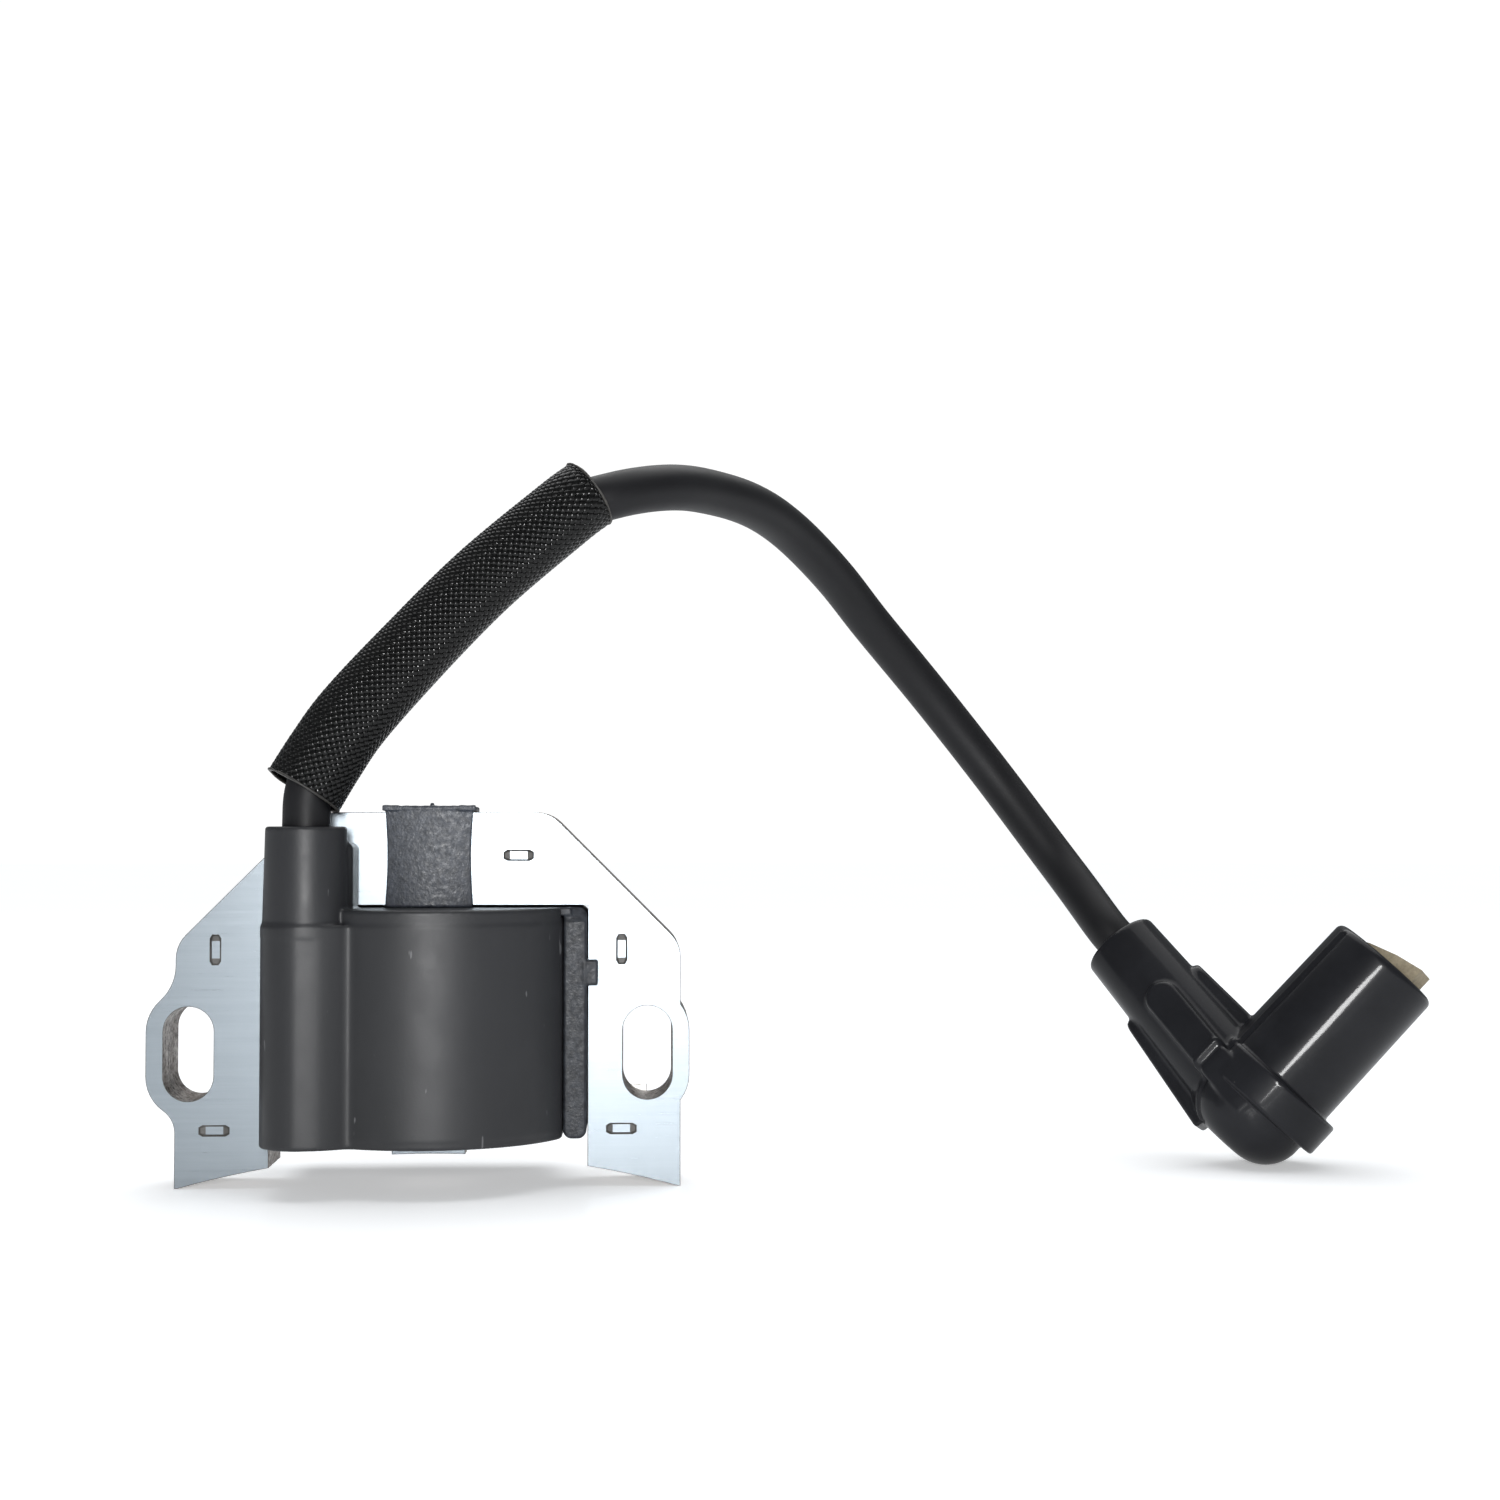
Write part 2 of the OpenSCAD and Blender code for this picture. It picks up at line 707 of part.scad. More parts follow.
// The rolled fibre liner in the mouth, folded flat-sided and cut off askew.
module mouth_liner() {
    liner_r = 6.8;
    liner_t = 0.5;
    color([0.60, 0.56, 0.47])
    aim(elbow, barrel_dir, outward)
        difference() {
            translate([0, 0, 19.1])
                cylinder(h = boot_len - 16.9, r = liner_r, $fn = 9);
            translate([0, 0, 19])
                cylinder(h = boot_len, r = liner_r - liner_t, $fn = 9);
            translate([0, 0, boot_len + 0.7])
                rotate([0, 16, 0])
                    translate([-20, -20, 0])
                        cube([40, 40, 20]);
        }
}

core_stack();
bobbin_frame();
saddle_strap();
coil_case();
primary_winding();
secondary_bobbin();
secondary_winding();
potting_resin();
trigger_board();
power_transistor();
trigger_resistor();
trigger_diode();
ground_strip();
stop_terminal();
tower_terminal();
link_wire();
tower_seal();
lead_jacket();
lead_conductor();
braided_sleeve();
plug_boot();
contact_pin();
plug_clip();
mouth_liner();
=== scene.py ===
"""Looks of a small engine's ignition coil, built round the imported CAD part.

Shapes are worked out in millimetres and scaled to metres when a mesh is made. Moulded pieces
are given as signed distances (negative inside), so that every edge and inside corner can be
rounded, and skin() turns such a field into a closed mesh.
"""

import math

import bpy
import numpy as np
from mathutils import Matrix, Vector
from mathutils.geometry import tessellate_polygon


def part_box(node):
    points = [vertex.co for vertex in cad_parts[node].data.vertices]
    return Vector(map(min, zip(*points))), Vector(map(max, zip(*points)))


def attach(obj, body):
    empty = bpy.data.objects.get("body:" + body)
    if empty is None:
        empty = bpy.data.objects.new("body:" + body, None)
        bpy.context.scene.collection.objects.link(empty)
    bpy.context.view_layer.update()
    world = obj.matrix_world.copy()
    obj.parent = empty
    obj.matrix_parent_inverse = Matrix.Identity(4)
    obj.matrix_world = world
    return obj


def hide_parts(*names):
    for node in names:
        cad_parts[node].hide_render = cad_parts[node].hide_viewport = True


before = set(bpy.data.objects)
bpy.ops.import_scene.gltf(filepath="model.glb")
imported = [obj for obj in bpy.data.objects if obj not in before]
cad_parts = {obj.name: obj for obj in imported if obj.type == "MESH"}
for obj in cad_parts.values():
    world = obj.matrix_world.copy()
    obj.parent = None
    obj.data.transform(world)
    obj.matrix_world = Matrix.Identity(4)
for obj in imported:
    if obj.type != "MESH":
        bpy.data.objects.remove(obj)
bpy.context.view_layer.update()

MM = 0.001
rng = np.random.default_rng(7)


def box_mm(node):
    """Lowest and highest corner of a CAD node, in millimetres."""
    low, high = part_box(node)
    return np.array(low) / MM, np.array(high) / MM


core_low, core_high = box_mm("core_stack")
strap_low, strap_high = box_mm("saddle_strap")
leg_mid = (strap_low[0] + strap_high[0]) / 2  # the centre leg's axis, along X


# ---- camera and lights

def add_camera():
    """Close to the object and almost level, so its perspective is strong."""
    camera = bpy.data.cameras.new("camera")
    camera.lens, camera.sensor_width = 57.0, 36.0
    camera.clip_start, camera.clip_end = 0.01, 20
    view = bpy.data.objects.new("camera", camera)
    view.location = (0.0324, -0.365, 0.0529)
    view.rotation_euler = (math.radians(90 + 2.01), 0, math.radians(-2.75))
    bpy.context.scene.collection.objects.link(view)
    bpy.context.scene.camera = view


def area_light(name, place, target, size, power):
    """A rectangle of light that faces a target; lengths in metres."""
    lamp = bpy.data.lights.new(name, "AREA")
    lamp.shape, lamp.size, lamp.size_y = "RECTANGLE", size[0], size[1]
    lamp.energy = power
    obj = bpy.data.objects.new(name, lamp)
    obj.location = place
    obj.rotation_euler = (Vector(target) - Vector(place)).to_track_quat("-Z", "Y").to_euler()
    bpy.context.scene.collection.objects.link(obj)


def add_lights():
    """A small key light just behind the camera, one high behind, and broad light overhead."""
    area_light("key", (0.02, -0.45, 0.095), (0.03, 0, 0.04), (0.06, 0.07), 1.35)
    area_light("behind", (0.10, 0.60, 0.70), (0.05, 0, 0.04), (0.9, 0.25), 1.6)
    overhead = bpy.data.lights.new("overhead", "SUN")
    overhead.energy, overhead.angle = 2.0, math.radians(70)
    obj = bpy.data.objects.new("overhead", overhead)
    obj.rotation_euler = (math.radians(-12), math.radians(4), 0)
    bpy.context.scene.collection.objects.link(obj)


# ---- material helpers

class Shader:
    """A new material's node tree, with short calls for the nodes that are used here."""

    def __init__(self, name):
        self.material = bpy.data.materials.new(name)
        self.material.use_nodes = True
        self.tree = self.material.node_tree
        self.bsdf = self.tree.nodes["Principled BSDF"]
        self.place = self.tree.nodes.new("ShaderNodeTexCoord").outputs["Object"]

    def set(self, **values):
        """Constants on the shader's own sockets, with _ for each space of a socket's name."""
        for name, value in values.items():
            self.bsdf.inputs[name.replace("_", " ")].default_value = value

    def link(self, output, socket):
        self.tree.links.new(output, socket)

    def stretched(self, scale):
        """The object's own coordinates, each multiplied by its number."""
        node = self.tree.nodes.new("ShaderNodeMapping")
        node.inputs["Scale"].default_value = scale
        self.link(self.place, node.inputs["Vector"])
        return node.outputs["Vector"]

    def noise(self, scale, detail=3, rough=0.5, vector=None):
        node = self.tree.nodes.new("ShaderNodeTexNoise")
        node.inputs["Scale"].default_value = scale
        node.inputs["Detail"].default_value = detail
        node.inputs["Roughness"].default_value = rough
        self.link(vector or self.place, node.inputs["Vector"])
        return node.outputs["Fac"]

    def cells(self, scale):
        node = self.tree.nodes.new("ShaderNodeTexVoronoi")
        node.inputs["Scale"].default_value = scale
        self.link(self.place, node.inputs["Vector"])
        return node.outputs["Distance"]

    def ramp(self, value, stops):
        """Colours or greys at places from 0 to 1."""
        node = self.tree.nodes.new("ShaderNodeValToRGB")
        elements = node.color_ramp.elements
        while len(elements) < len(stops):
            elements.new(0.5)
        for element, (place, colour) in zip(elements, stops):
            element.position = place
            grey = isinstance(colour, (int, float))
            element.color = (colour,) * 3 + (1,) if grey else tuple(colour) + (1,)
        self.link(value, node.inputs["Fac"])
        return node.outputs["Color"]

    def mix(self, share, first, second):
        """Between two colours, by an output or a plain number."""
        node = self.tree.nodes.new("ShaderNodeMix")
        node.data_type = "RGBA"
        for socket, value in (("Factor", share), ("A", first), ("B", second)):
            target = [s for s in node.inputs if s.name == socket and s.enabled][0]
            if isinstance(value, bpy.types.NodeSocket):
                self.link(value, target)
            else:
                is_colour = socket != "Factor"
                target.default_value = tuple(value) + (1,) if is_colour else value
        return [s for s in node.outputs if s.enabled][0]

    def colour(self, output):
        self.link(output, self.bsdf.inputs["Base Color"])

    def roughness(self, output):
        self.link(output, self.bsdf.inputs["Roughness"])

    def bump(self, height, depth, strength=1.0, after=None):
        """Adds relief of that depth in metres, on top of an earlier bump's normal."""
        node = self.tree.nodes.new("ShaderNodeBump")
        node.inputs["Distance"].default_value = depth
        node.inputs["Strength"].default_value = strength
        self.link(height, node.inputs["Height"])
        if after:
            self.link(after, node.inputs["Normal"])
        self.link(node.outputs["Normal"], self.bsdf.inputs["Normal"])
        return node.outputs["Normal"]


def smooth_plastic(name, dark, light, rough):
    """Moulded plastic with a satin skin, faint flow marks and a few rubbed spots."""
    s = Shader(name)
    flow = s.noise(60, 4, 0.6, s.stretched((1, 1, 0.25)))
    tone = s.ramp(flow, [(0.3, dark), (0.7, light)])
    nick = s.ramp(s.noise(1, 2, 0.5, s.stretched((700, 700, 180))), [(0.735, 0.0), (0.76, 1.0)])
    s.colour(s.mix(nick, tone, (0.09, 0.09, 0.095)))
    s.roughness(s.ramp(s.noise(180, 5, 0.65), [(0.3, rough - 0.05), (0.75, rough + 0.07)]))
    s.set(Specular_IOR_Level=0.42)
    s.bump(s.noise(2600, 2), 0.00002, 0.35)
    return s.material


def textured_plastic(name, dark, light, shine):
    """Spark-eroded mould texture: a fine hard grain that sparkles a little."""
    s = Shader(name)
    s.set(Specular_IOR_Level=shine)
    tone = s.noise(900, 3, 0.6)
    s.colour(s.ramp(tone, [(0.35, dark), (0.7, light)]))
    s.roughness(s.ramp(s.noise(1500, 2), [(0.3, 0.34), (0.7, 0.55)]))
    first = s.bump(s.noise(1700, 3, 0.6), 0.00012, 0.55)
    s.bump(s.cells(2400), 0.00006, 0.35, first)
    return s.material


def plate_face():
    """Electrical steel with the fine marks of rolling, which run along X, and faint scratches."""
    s = Shader("plate_face")
    s.set(Metallic=1.0)
    rolled = s.noise(1, 6, 0.7, s.stretched((60, 900, 2600)))
    blotch = s.noise(45, 4, 0.6)
    tone = s.ramp(rolled, [(0.25, (0.218, 0.246, 0.269)), (0.75, (0.243, 0.273, 0.297))])
    s.colour(s.mix(s.ramp(blotch, [(0.35, 0.0), (0.75, 0.45)]), tone, (0.235, 0.265, 0.29)))
    s.roughness(s.ramp(rolled, [(0.3, 0.27), (0.7, 0.31)]))
    scratch = s.noise(1, 2, 0.5, s.stretched((35, 400, 5200)))
    first = s.bump(rolled, 0.00001, 0.07)
    s.bump(s.ramp(scratch, [(0.72, 0.0), (0.78, 1.0)]), 0.00001, 0.10, first)
    return s.material


def plate_edge():
    """The plates' edges, where the punch cut them: brownish grey grain, with a darker film in
    places.
    """
    s = Shader("plate_edge")
    s.set(Metallic=0.85)
    grain = s.noise(1, 4, 0.75, s.stretched((1300, 1000, 1300)))
    stain = s.noise(160, 4, 0.65)
    tone = s.ramp(grain, [(0.38, (0.10, 0.09, 0.085)), (0.60, (0.52, 0.49, 0.47))])
    s.colour(s.mix(s.ramp(stain, [(0.45, 0.0), (0.72, 0.7)]), tone, (0.14, 0.11, 0.09)))
    s.roughness(s.ramp(stain, [(0.3, 0.36), (0.7, 0.58)]))
    s.bump(s.noise(1, 3, 0.6, s.stretched((1800, 300, 1800))), 0.00003, 0.5)
    return s.material


def rubber(name, tone, rough, shine, coat=0.0):
    """Moulded or extruded rubber, with a little bloom and dust."""
    s = Shader(name)
    s.set(Specular_IOR_Level=shine, Coat_Weight=coat, Coat_Roughness=0.09)
    bloom = s.noise(70, 5, 0.65)
    paler = tuple(1.6 * t for t in tone)
    dust = s.ramp(s.cells(520), [(0.035, 1.0), (0.075, 0.0)])
    patches = s.ramp(s.noise(110, 2), [(0.58, 0.0), (0.66, 0.55)])
    speck = s.mix(patches, (0, 0, 0), dust)
    s.colour(s.mix(speck, s.ramp(bloom, [(0.35, tone), (0.75, paler)]), (0.16, 0.16, 0.15)))
    s.roughness(s.ramp(bloom, [(0.3, rough - 0.04), (0.7, rough + 0.06)]))
    s.bump(s.noise(1100, 2), 0.00001, 0.3)
    return s.material


def braid_yarn():
    """Glossy black varnished yarn, with its filaments as fine relief."""
    s = Shader("braid_yarn")
    tone = s.noise(700, 3)
    s.colour(s.ramp(tone, [(0.3, (0.002, 0.002, 0.002)), (0.75, (0.005, 0.005, 0.005))]))
    s.roughness(s.ramp(s.noise(1300, 2), [(0.3, 0.15), (0.7, 0.34)]))
    s.set(Specular_IOR_Level=0.12, Coat_Weight=0.22, Coat_Roughness=0.06)
    s.bump(s.noise(5200, 2), 0.00001, 0.3)
    return s.material


def fibre_paper():
    """Rolled tan insulating paper: fibres, stains and a soft surface."""
    s = Shader("fibre_paper")
    fibres = s.noise(1, 5, 0.7, s.stretched((900, 2600, 900)))
    stain = s.noise(220, 4, 0.6)
    tone = s.ramp(fibres, [(0.3, (0.165, 0.137, 0.087)), (0.7, (0.30, 0.255, 0.178))])
    s.colour(s.mix(s.ramp(stain, [(0.5, 0.0), (0.8, 0.6)]), tone, (0.12, 0.09, 0.06)))
    s.roughness(s.ramp(fibres, [(0.3, 0.70), (0.7, 0.88)]))
    s.bump(fibres, 0.00008, 0.6)
    return s.material


def epoxy():
    """Black potting resin: glossy, slightly wavy, with a dull haze in places."""
    s = Shader("epoxy")
    haze = s.noise(90, 4, 0.6)
    s.colour(s.ramp(haze, [(0.35, (0.010, 0.010, 0.011)), (0.75, (0.022, 0.021, 0.020))]))
    s.roughness(s.ramp(haze, [(0.4, 0.14), (0.75, 0.34)]))
    s.bump(s.noise(140, 2), 0.0002, 0.35)
    return s.material


def metal(name, tone, darker, rough, scale=400):
    """Plated or drawn metal, slightly tarnished."""
    s = Shader(name)
    s.set(Metallic=1.0)
    film = s.noise(scale, 4, 0.6)
    s.colour(s.ramp(film, [(0.3, darker), (0.65, tone)]))
    s.roughness(s.ramp(film, [(0.3, rough + 0.15), (0.7, rough)]))
    s.bump(s.noise(scale * 5, 2), 0.00002, 0.3)
    return s.material


BAND_PERIOD = 0.314  # between two bands of a wave texture whose scale is 1


def wound_wire(name, tone, darker, pitch):
    """Enamelled copper, wound in turns that lie across Z."""
    s = Shader(name)
    s.set(Metallic=0.8, Coat_Weight=0.4)
    wave = s.tree.nodes.new("ShaderNodeTexWave")
    wave.bands_direction = "Z"
    wave.inputs["Scale"].default_value = BAND_PERIOD / pitch
    wave.inputs["Distortion"].default_value = 0.4
    s.link(s.place, wave.inputs["Vector"])
    # The darker tone is painted shade in the grooves between the turns.
    s.colour(s.ramp(wave.outputs["Fac"], [(0.1, darker), (0.6, tone)]))
    s.roughness(s.ramp(s.noise(500), [(0.3, 0.25), (0.7, 0.42)]))
    s.bump(wave.outputs["Fac"], pitch * 0.3, 0.8)
    return s.material


def dull(name, first, second, rough, scale=300):
    """Laminate, nylon or painted parts: two close tones in a fine grain."""
    s = Shader(name)
    grain = s.noise(scale, 4, 0.6)
    s.colour(s.ramp(grain, [(0.35, first), (0.7, second)]))
    s.roughness(s.ramp(grain, [(0.3, rough - 0.08), (0.7, rough + 0.08)]))
    s.bump(s.noise(scale * 6, 2), 0.00002, 0.4)
    return s.material


# ---- distance fields, in mm

def smooth_min(a, b, k):
    """The union of two fields, the inside corner between them filled over a width k."""
    h = np.maximum(k - np.abs(a - b), 0) / k
    return np.minimum(a, b) - h * h * k / 4


def smooth_max(a, b, k):
    """What is inside both fields, the edge between them rounded over a width k."""
    return -smooth_min(-a, -b, k)


def joined(parts, k):
    """The union of several fields, with filled corners."""
    out = parts[0]
    for part in parts[1:]:
        out = smooth_min(out, part, k)
    return out


def cut(body, tool, k):
    """The body without the tool, the edge rounded over a width k."""
    return smooth_max(body, -tool, k)


def corner(a, b, r):
    """The solid inside both a and b, its edge rounded by r."""
    a, b = a + r, b + r
    return np.hypot(np.maximum(a, 0), np.maximum(b, 0)) + np.minimum(np.maximum(a, b), 0) - r


def span(t, low, high):
    """Distance past a stretch of one axis."""
    return np.abs(t - (low + high) / 2) - (high - low) / 2


def rect(x, y, low, high, r):
    """A rounded rectangle in the plane."""
    return corner(span(x, low[0], high[0]), span(y, low[1], high[1]), r)


def block(x, y, z, low, high, r):
    """A box with every edge rounded by r."""
    a, b, c = (span(t, low[i], high[i]) + r for i, t in enumerate((x, y, z)))
    out = np.sqrt(np.maximum(a, 0) ** 2 + np.maximum(b, 0) ** 2 + np.maximum(c, 0) ** 2)
    return out + np.minimum(np.maximum(np.maximum(a, b), c), 0) - r


def cone(radial, along, low, high, r_low, r_high, r_edge):
    """A turned solid: radial is the distance from its axis."""
    slope = (r_high - r_low) / (high - low)
    side = (radial - r_low - slope * (along - low)) / math.hypot(1, slope)
    return corner(side, span(along, low, high), r_edge)


CELL_CORNERS = [np.array((i, j, k)) for i in (0, 1) for j in (0, 1) for k in (0, 1)]


def crossed_cells(inside):
    """The grid's cells that have corners both inside and outside."""
    size = np.array(inside.shape) - 1
    count = np.zeros(size, np.int8)
    for c in CELL_CORNERS:
        count += inside[tuple(slice(a, a + n) for a, n in zip(c, size))]
    return np.argwhere((count > 0) & (count < 8))


def crossing_middles(value, cells):
    """In each cell, the middle of the places where the surface crosses the cell's edges."""
    total, hits = np.zeros((len(cells), 3)), np.zeros(len(cells))
    for c in CELL_CORNERS:
        for axis in np.flatnonzero(c == 0):
            unit = np.eye(3, dtype=int)[axis]
            a = value[tuple((cells + c).T)]
            b = value[tuple((cells + c + unit).T)]
            crossing = (a < 0) != (b < 0)
            share = a[crossing] / (a[crossing] - b[crossing])
            total[crossing] += c + share[:, None] * unit
            hits[crossing] += 1
    return total / hits[:, None]


def cell_quads(inside, number):
    """A quad through the four cells round each edge that the surface crosses."""
    quads = []
    for axis in range(3):
        u, v = (axis + 1) % 3, (axis + 2) % 3
        here = [slice(1, -1)] * 3
        here[axis] = slice(0, -1)
        there = list(here)
        there[axis] = slice(1, None)
        a, b = inside[tuple(here)], inside[tuple(there)]
        edges = np.argwhere(a != b)
        starts_inside = a[tuple(edges.T)]
        start = edges.copy()
        start[:, u] += 1
        start[:, v] += 1
        du, dv = np.eye(3, dtype=int)[u], np.eye(3, dtype=int)[v]
        around = [start - du - dv, start - dv, start, start - du]
        quad = np.stack([number[tuple(cell.T)] for cell in around], 1)
        quad[~starts_inside] = quad[~starts_inside, ::-1]
        quads.append(quad)
    return np.concatenate(quads)


def skin(field, low, high, step):
    """Vertices and quads of a closed mesh where field(x, y, z) is zero, between two corners."""
    low = np.array(low, float)
    axes = [np.arange(a, b + step, step) for a, b in zip(low, high)]
    grid = np.meshgrid(*axes, indexing="ij", sparse=True)
    value = np.broadcast_to(field(*grid), [len(a) for a in axes]).astype(np.float32)
    inside = value < 0
    cells = crossed_cells(inside)
    number = np.full(np.array(inside.shape) - 1, -1, np.int64)
    number[tuple(cells.T)] = np.arange(len(cells))
    points = low + step * (cells + crossing_middles(value, cells))
    return settle(field, points, step), cell_quads(inside, number)


def slope_of(field, points, h):
    """The field's slope at each point, from places h to either side."""
    x, y, z = points.T
    return np.stack([field(x + h, y, z) - field(x - h, y, z),
                     field(x, y + h, z) - field(x, y - h, z),
                     field(x, y, z + h) - field(x, y, z - h)], 1) / (2 * h)


def settle(field, points, step):
    """Moves points onto the surface itself, a few short steps along the field's slope."""
    for _ in range(3):
        slope = slope_of(field, points, 0.02)
        size = np.maximum((slope ** 2).sum(1), 0.2)
        move = np.clip(field(*points.T) / size, -step / 2, step / 2)
        points = points - move[:, None] * slope
    return points


# ---- mesh helpers

def make_mesh(name, points, faces, materials, smooth=True):
    """A new object from points in millimetres."""
    mesh = bpy.data.meshes.new(name)
    mesh.from_pydata((np.asarray(points) * MM).tolist(), [], np.asarray(faces).tolist()
                     if isinstance(faces, np.ndarray) else faces)
    mesh.validate()
    for m in materials:
        mesh.materials.append(m)
    if smooth:
        mesh.shade_smooth()
    obj = bpy.data.objects.new(name, mesh)
    bpy.context.scene.collection.objects.link(obj)
    return obj


def finish_piece(obj, body, slot, *nodes):
    """Puts a piece on its body and hides the CAD nodes it stands for; its slot is not used."""
    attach(obj, body)
    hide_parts(*nodes)
    return obj


def dress(node, material):
    """Gives a CAD node that stays its procedural material."""
    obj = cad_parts[node]
    obj.data.materials.clear()
    obj.data.materials.append(material)


def soften(node, width):
    """Rounds the edges of a CAD node that stays in view."""
    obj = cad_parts[node]
    weld = obj.modifiers.new("weld", "WELD")
    weld.merge_threshold = 0.00001
    bevel = obj.modifiers.new("bevel", "BEVEL")
    bevel.width, bevel.segments, bevel.limit_method = width, 2, "ANGLE"


def ring_faces(rings, sides, start=0, closed=False):
    """Quads from each ring of points to the next; closed joins the last ring to the first."""
    faces = []
    for i in range(rings if closed else rings - 1):
        a, b = start + i * sides, start + (i + 1) % rings * sides
        faces += [[a + k, a + (k + 1) % sides, b + (k + 1) % sides, b + k] for k in range(sides)]
    return faces


def tube_mesh(path, radii, sides):
    """Points and faces of a closed round tube along a path, radius by radius."""
    path = np.asarray(path, float)
    along = np.gradient(path, axis=0)
    along /= np.linalg.norm(along, axis=1)[:, None]
    frames = parallel_frames(along)
    turn = 2 * math.pi * np.arange(sides) / sides
    points = []
    for centre, (u, v), r in zip(path, frames, radii):
        points.append(centre + r * (np.cos(turn)[:, None] * u + np.sin(turn)[:, None] * v))
    points = np.concatenate(points + [path[:1], path[-1:]])
    last, tail = (len(path) - 1) * sides, len(path) * sides
    faces = ring_faces(len(path), sides)
    faces += [[tail, (k + 1) % sides, k] for k in range(sides)]
    faces += [[tail + 1, last + k, last + (k + 1) % sides] for k in range(sides)]
    return points, faces


def parallel_frames(along):
    """Two directions across a path at each of its points, turning as little as they can."""
    u = np.cross(along[0], (0, 1, 0))
    u /= np.linalg.norm(u)
    frames = []
    for a in along:
        u = u - a * (u @ a)
        u /= np.linalg.norm(u)
        frames.append((u, np.cross(a, u)))
    return frames


def blend(a, b, c, d, t):
    """A point on the smooth curve between b and c, t from 0 to 1, as in the CAD source."""
    return 0.5 * (2 * b + (c - a) * t + (2 * a - 5 * b + 4 * c - d) * t * t
                  + (3 * b - a - 3 * c + d) * t ** 3)


def smooth_path(route, steps):
    """A smooth curve through the route's points, with so many steps between two of them."""
    p = np.array(route, float)
    last = len(p) - 1
    out = [blend(p[max(i - 1, 0)], p[i], p[i + 1], p[min(i + 2, last)], k / steps)
           for i in range(last) for k in range(steps)]
    return np.array(out + [p[-1]])


def length_of(path):
    return float(np.linalg.norm(np.diff(path, axis=0), axis=1).sum())


# ---- the lead and its sleeve

# The boot's place, in metres, as in the CAD source.
ELBOW = np.array((0.1315, 0.013, 0.00955))
COLLAR_POINT = np.array((0.1135, 0.029, 0.03405))
MOUTH_POINT = np.array((0.1518, 0.0096, 0.0321))
COLLAR_DIR = (COLLAR_POINT - ELBOW) / np.linalg.norm(COLLAR_POINT - ELBOW)
BARREL_DIR = (MOUTH_POINT - ELBOW) / np.linalg.norm(MOUTH_POINT - ELBOW)

# The lead's route, in metres, as in the CAD source.
LEAD_ROUTE = [
    (-0.0157, -0.015, 0.036), (-0.0157, -0.015, 0.045), (-0.0157, -0.015, 0.054),
    (-0.0153, -0.015, 0.0593), (-0.0131, -0.015, 0.0645), (-0.009, -0.015, 0.070),
    (-0.0015, -0.0145, 0.0785), (0.0095, -0.0135, 0.090), (0.021, -0.0125, 0.100),
    (0.029, -0.0115, 0.1033), (0.0375, -0.005, 0.1055), (0.0445, 0.004, 0.106),
    (0.0515, 0.013, 0.105), (0.058, 0.022, 0.102), (0.0655, 0.031, 0.096),
    (0.0725, 0.0375, 0.0885), (0.083, 0.0435, 0.077), (0.0935, 0.045, 0.064),
    (0.103, 0.041, 0.0505), (0.1075, 0.0365, 0.0435),
] + [tuple(ELBOW + s * COLLAR_DIR) for s in (0.039, 0.035, 0.027, 0.019, 0.011)]
SLEEVE_ROUTE = [
    (-0.0159, -0.015, 0.0595), (-0.0129, -0.015, 0.0644), (-0.009, -0.015, 0.070),
    (-0.0015, -0.0145, 0.0785), (0.0095, -0.0135, 0.090), (0.0212, -0.0129, 0.1001),
    (0.0249, -0.0119, 0.1031),
]
LEAD_D = 0.007


def add_lead(material):
    path = smooth_path(LEAD_ROUTE, 8)
    radii = np.full(len(path), LEAD_D / 2 / MM)
    obj = make_mesh("lead", *tube_mesh(path / MM, radii, 40), [material])
    finish_piece(obj, "coil", "lead_rubber", "lead_jacket")
    return obj, path


def braid_surface(path):
    """Gives the point of the sleeve's tube at a length along it, an angle and a lift in mm."""
    path = np.asarray(path) / MM
    gaps = np.linalg.norm(np.diff(path, axis=0), axis=1)
    place = np.concatenate([[0], np.cumsum(gaps)])
    total = place[-1]
    along = np.gradient(path, axis=0)
    along /= np.linalg.norm(along, axis=1)[:, None]
    frames = np.array(parallel_frames(along))

    def at(s, angle, lift):
        centre = np.stack([np.interp(s, place, path[:, i]) for i in range(3)], -1)
        centre += np.minimum(s, 0)[..., None] * along[0]
        centre += np.maximum(s - total, 0)[..., None] * along[-1]
        u = np.stack([np.interp(s, place, frames[:, 0, i]) for i in range(3)], -1)
        v = np.stack([np.interp(s, place, frames[:, 1, i]) for i in range(3)], -1)
        radius = (np.interp(s, [0, 0.45 * total, total], BRAID_R) + lift)[..., None]
        return centre + radius * (np.cos(angle)[..., None] * u + np.sin(angle)[..., None] * v)

    return at, total


YARNS = 30  # in each of the two directions
YARN_T = 0.19  # mm
YARN_RISE = 0.55 * YARN_T  # from the middle of the wall, where two yarns cross
STEPS_PER_CROSSING = 4
BRAID_R = (5.78, 5.40, 5.20)  # middle of the braid's wall: lower end, middle, upper end
BRAID_LEAN = math.radians(46)
TURN_RATE = math.tan(BRAID_LEAN) / BRAID_R[1]  # radians for each mm
YARN_W = 2 * math.pi * BRAID_R[1] / YARNS * math.cos(BRAID_LEAN)
# A yarn's section: places across it, and heights as a share of its thickness.
YARN_ACROSS = np.array([-0.52, -0.36, 0, 0.36, 0.52, 0])
YARN_LIFT = np.array([-0.30, 0.28, 0.5, 0.28, -0.30, -0.5])


def end_cut(s, angle, total):
    """Holds a place between the sleeve's ends; the lower one is cut slightly askew."""
    return np.clip(s, -0.4 + 0.9 * np.sin(angle), total + 0.5 + 0.15 * np.cos(angle))


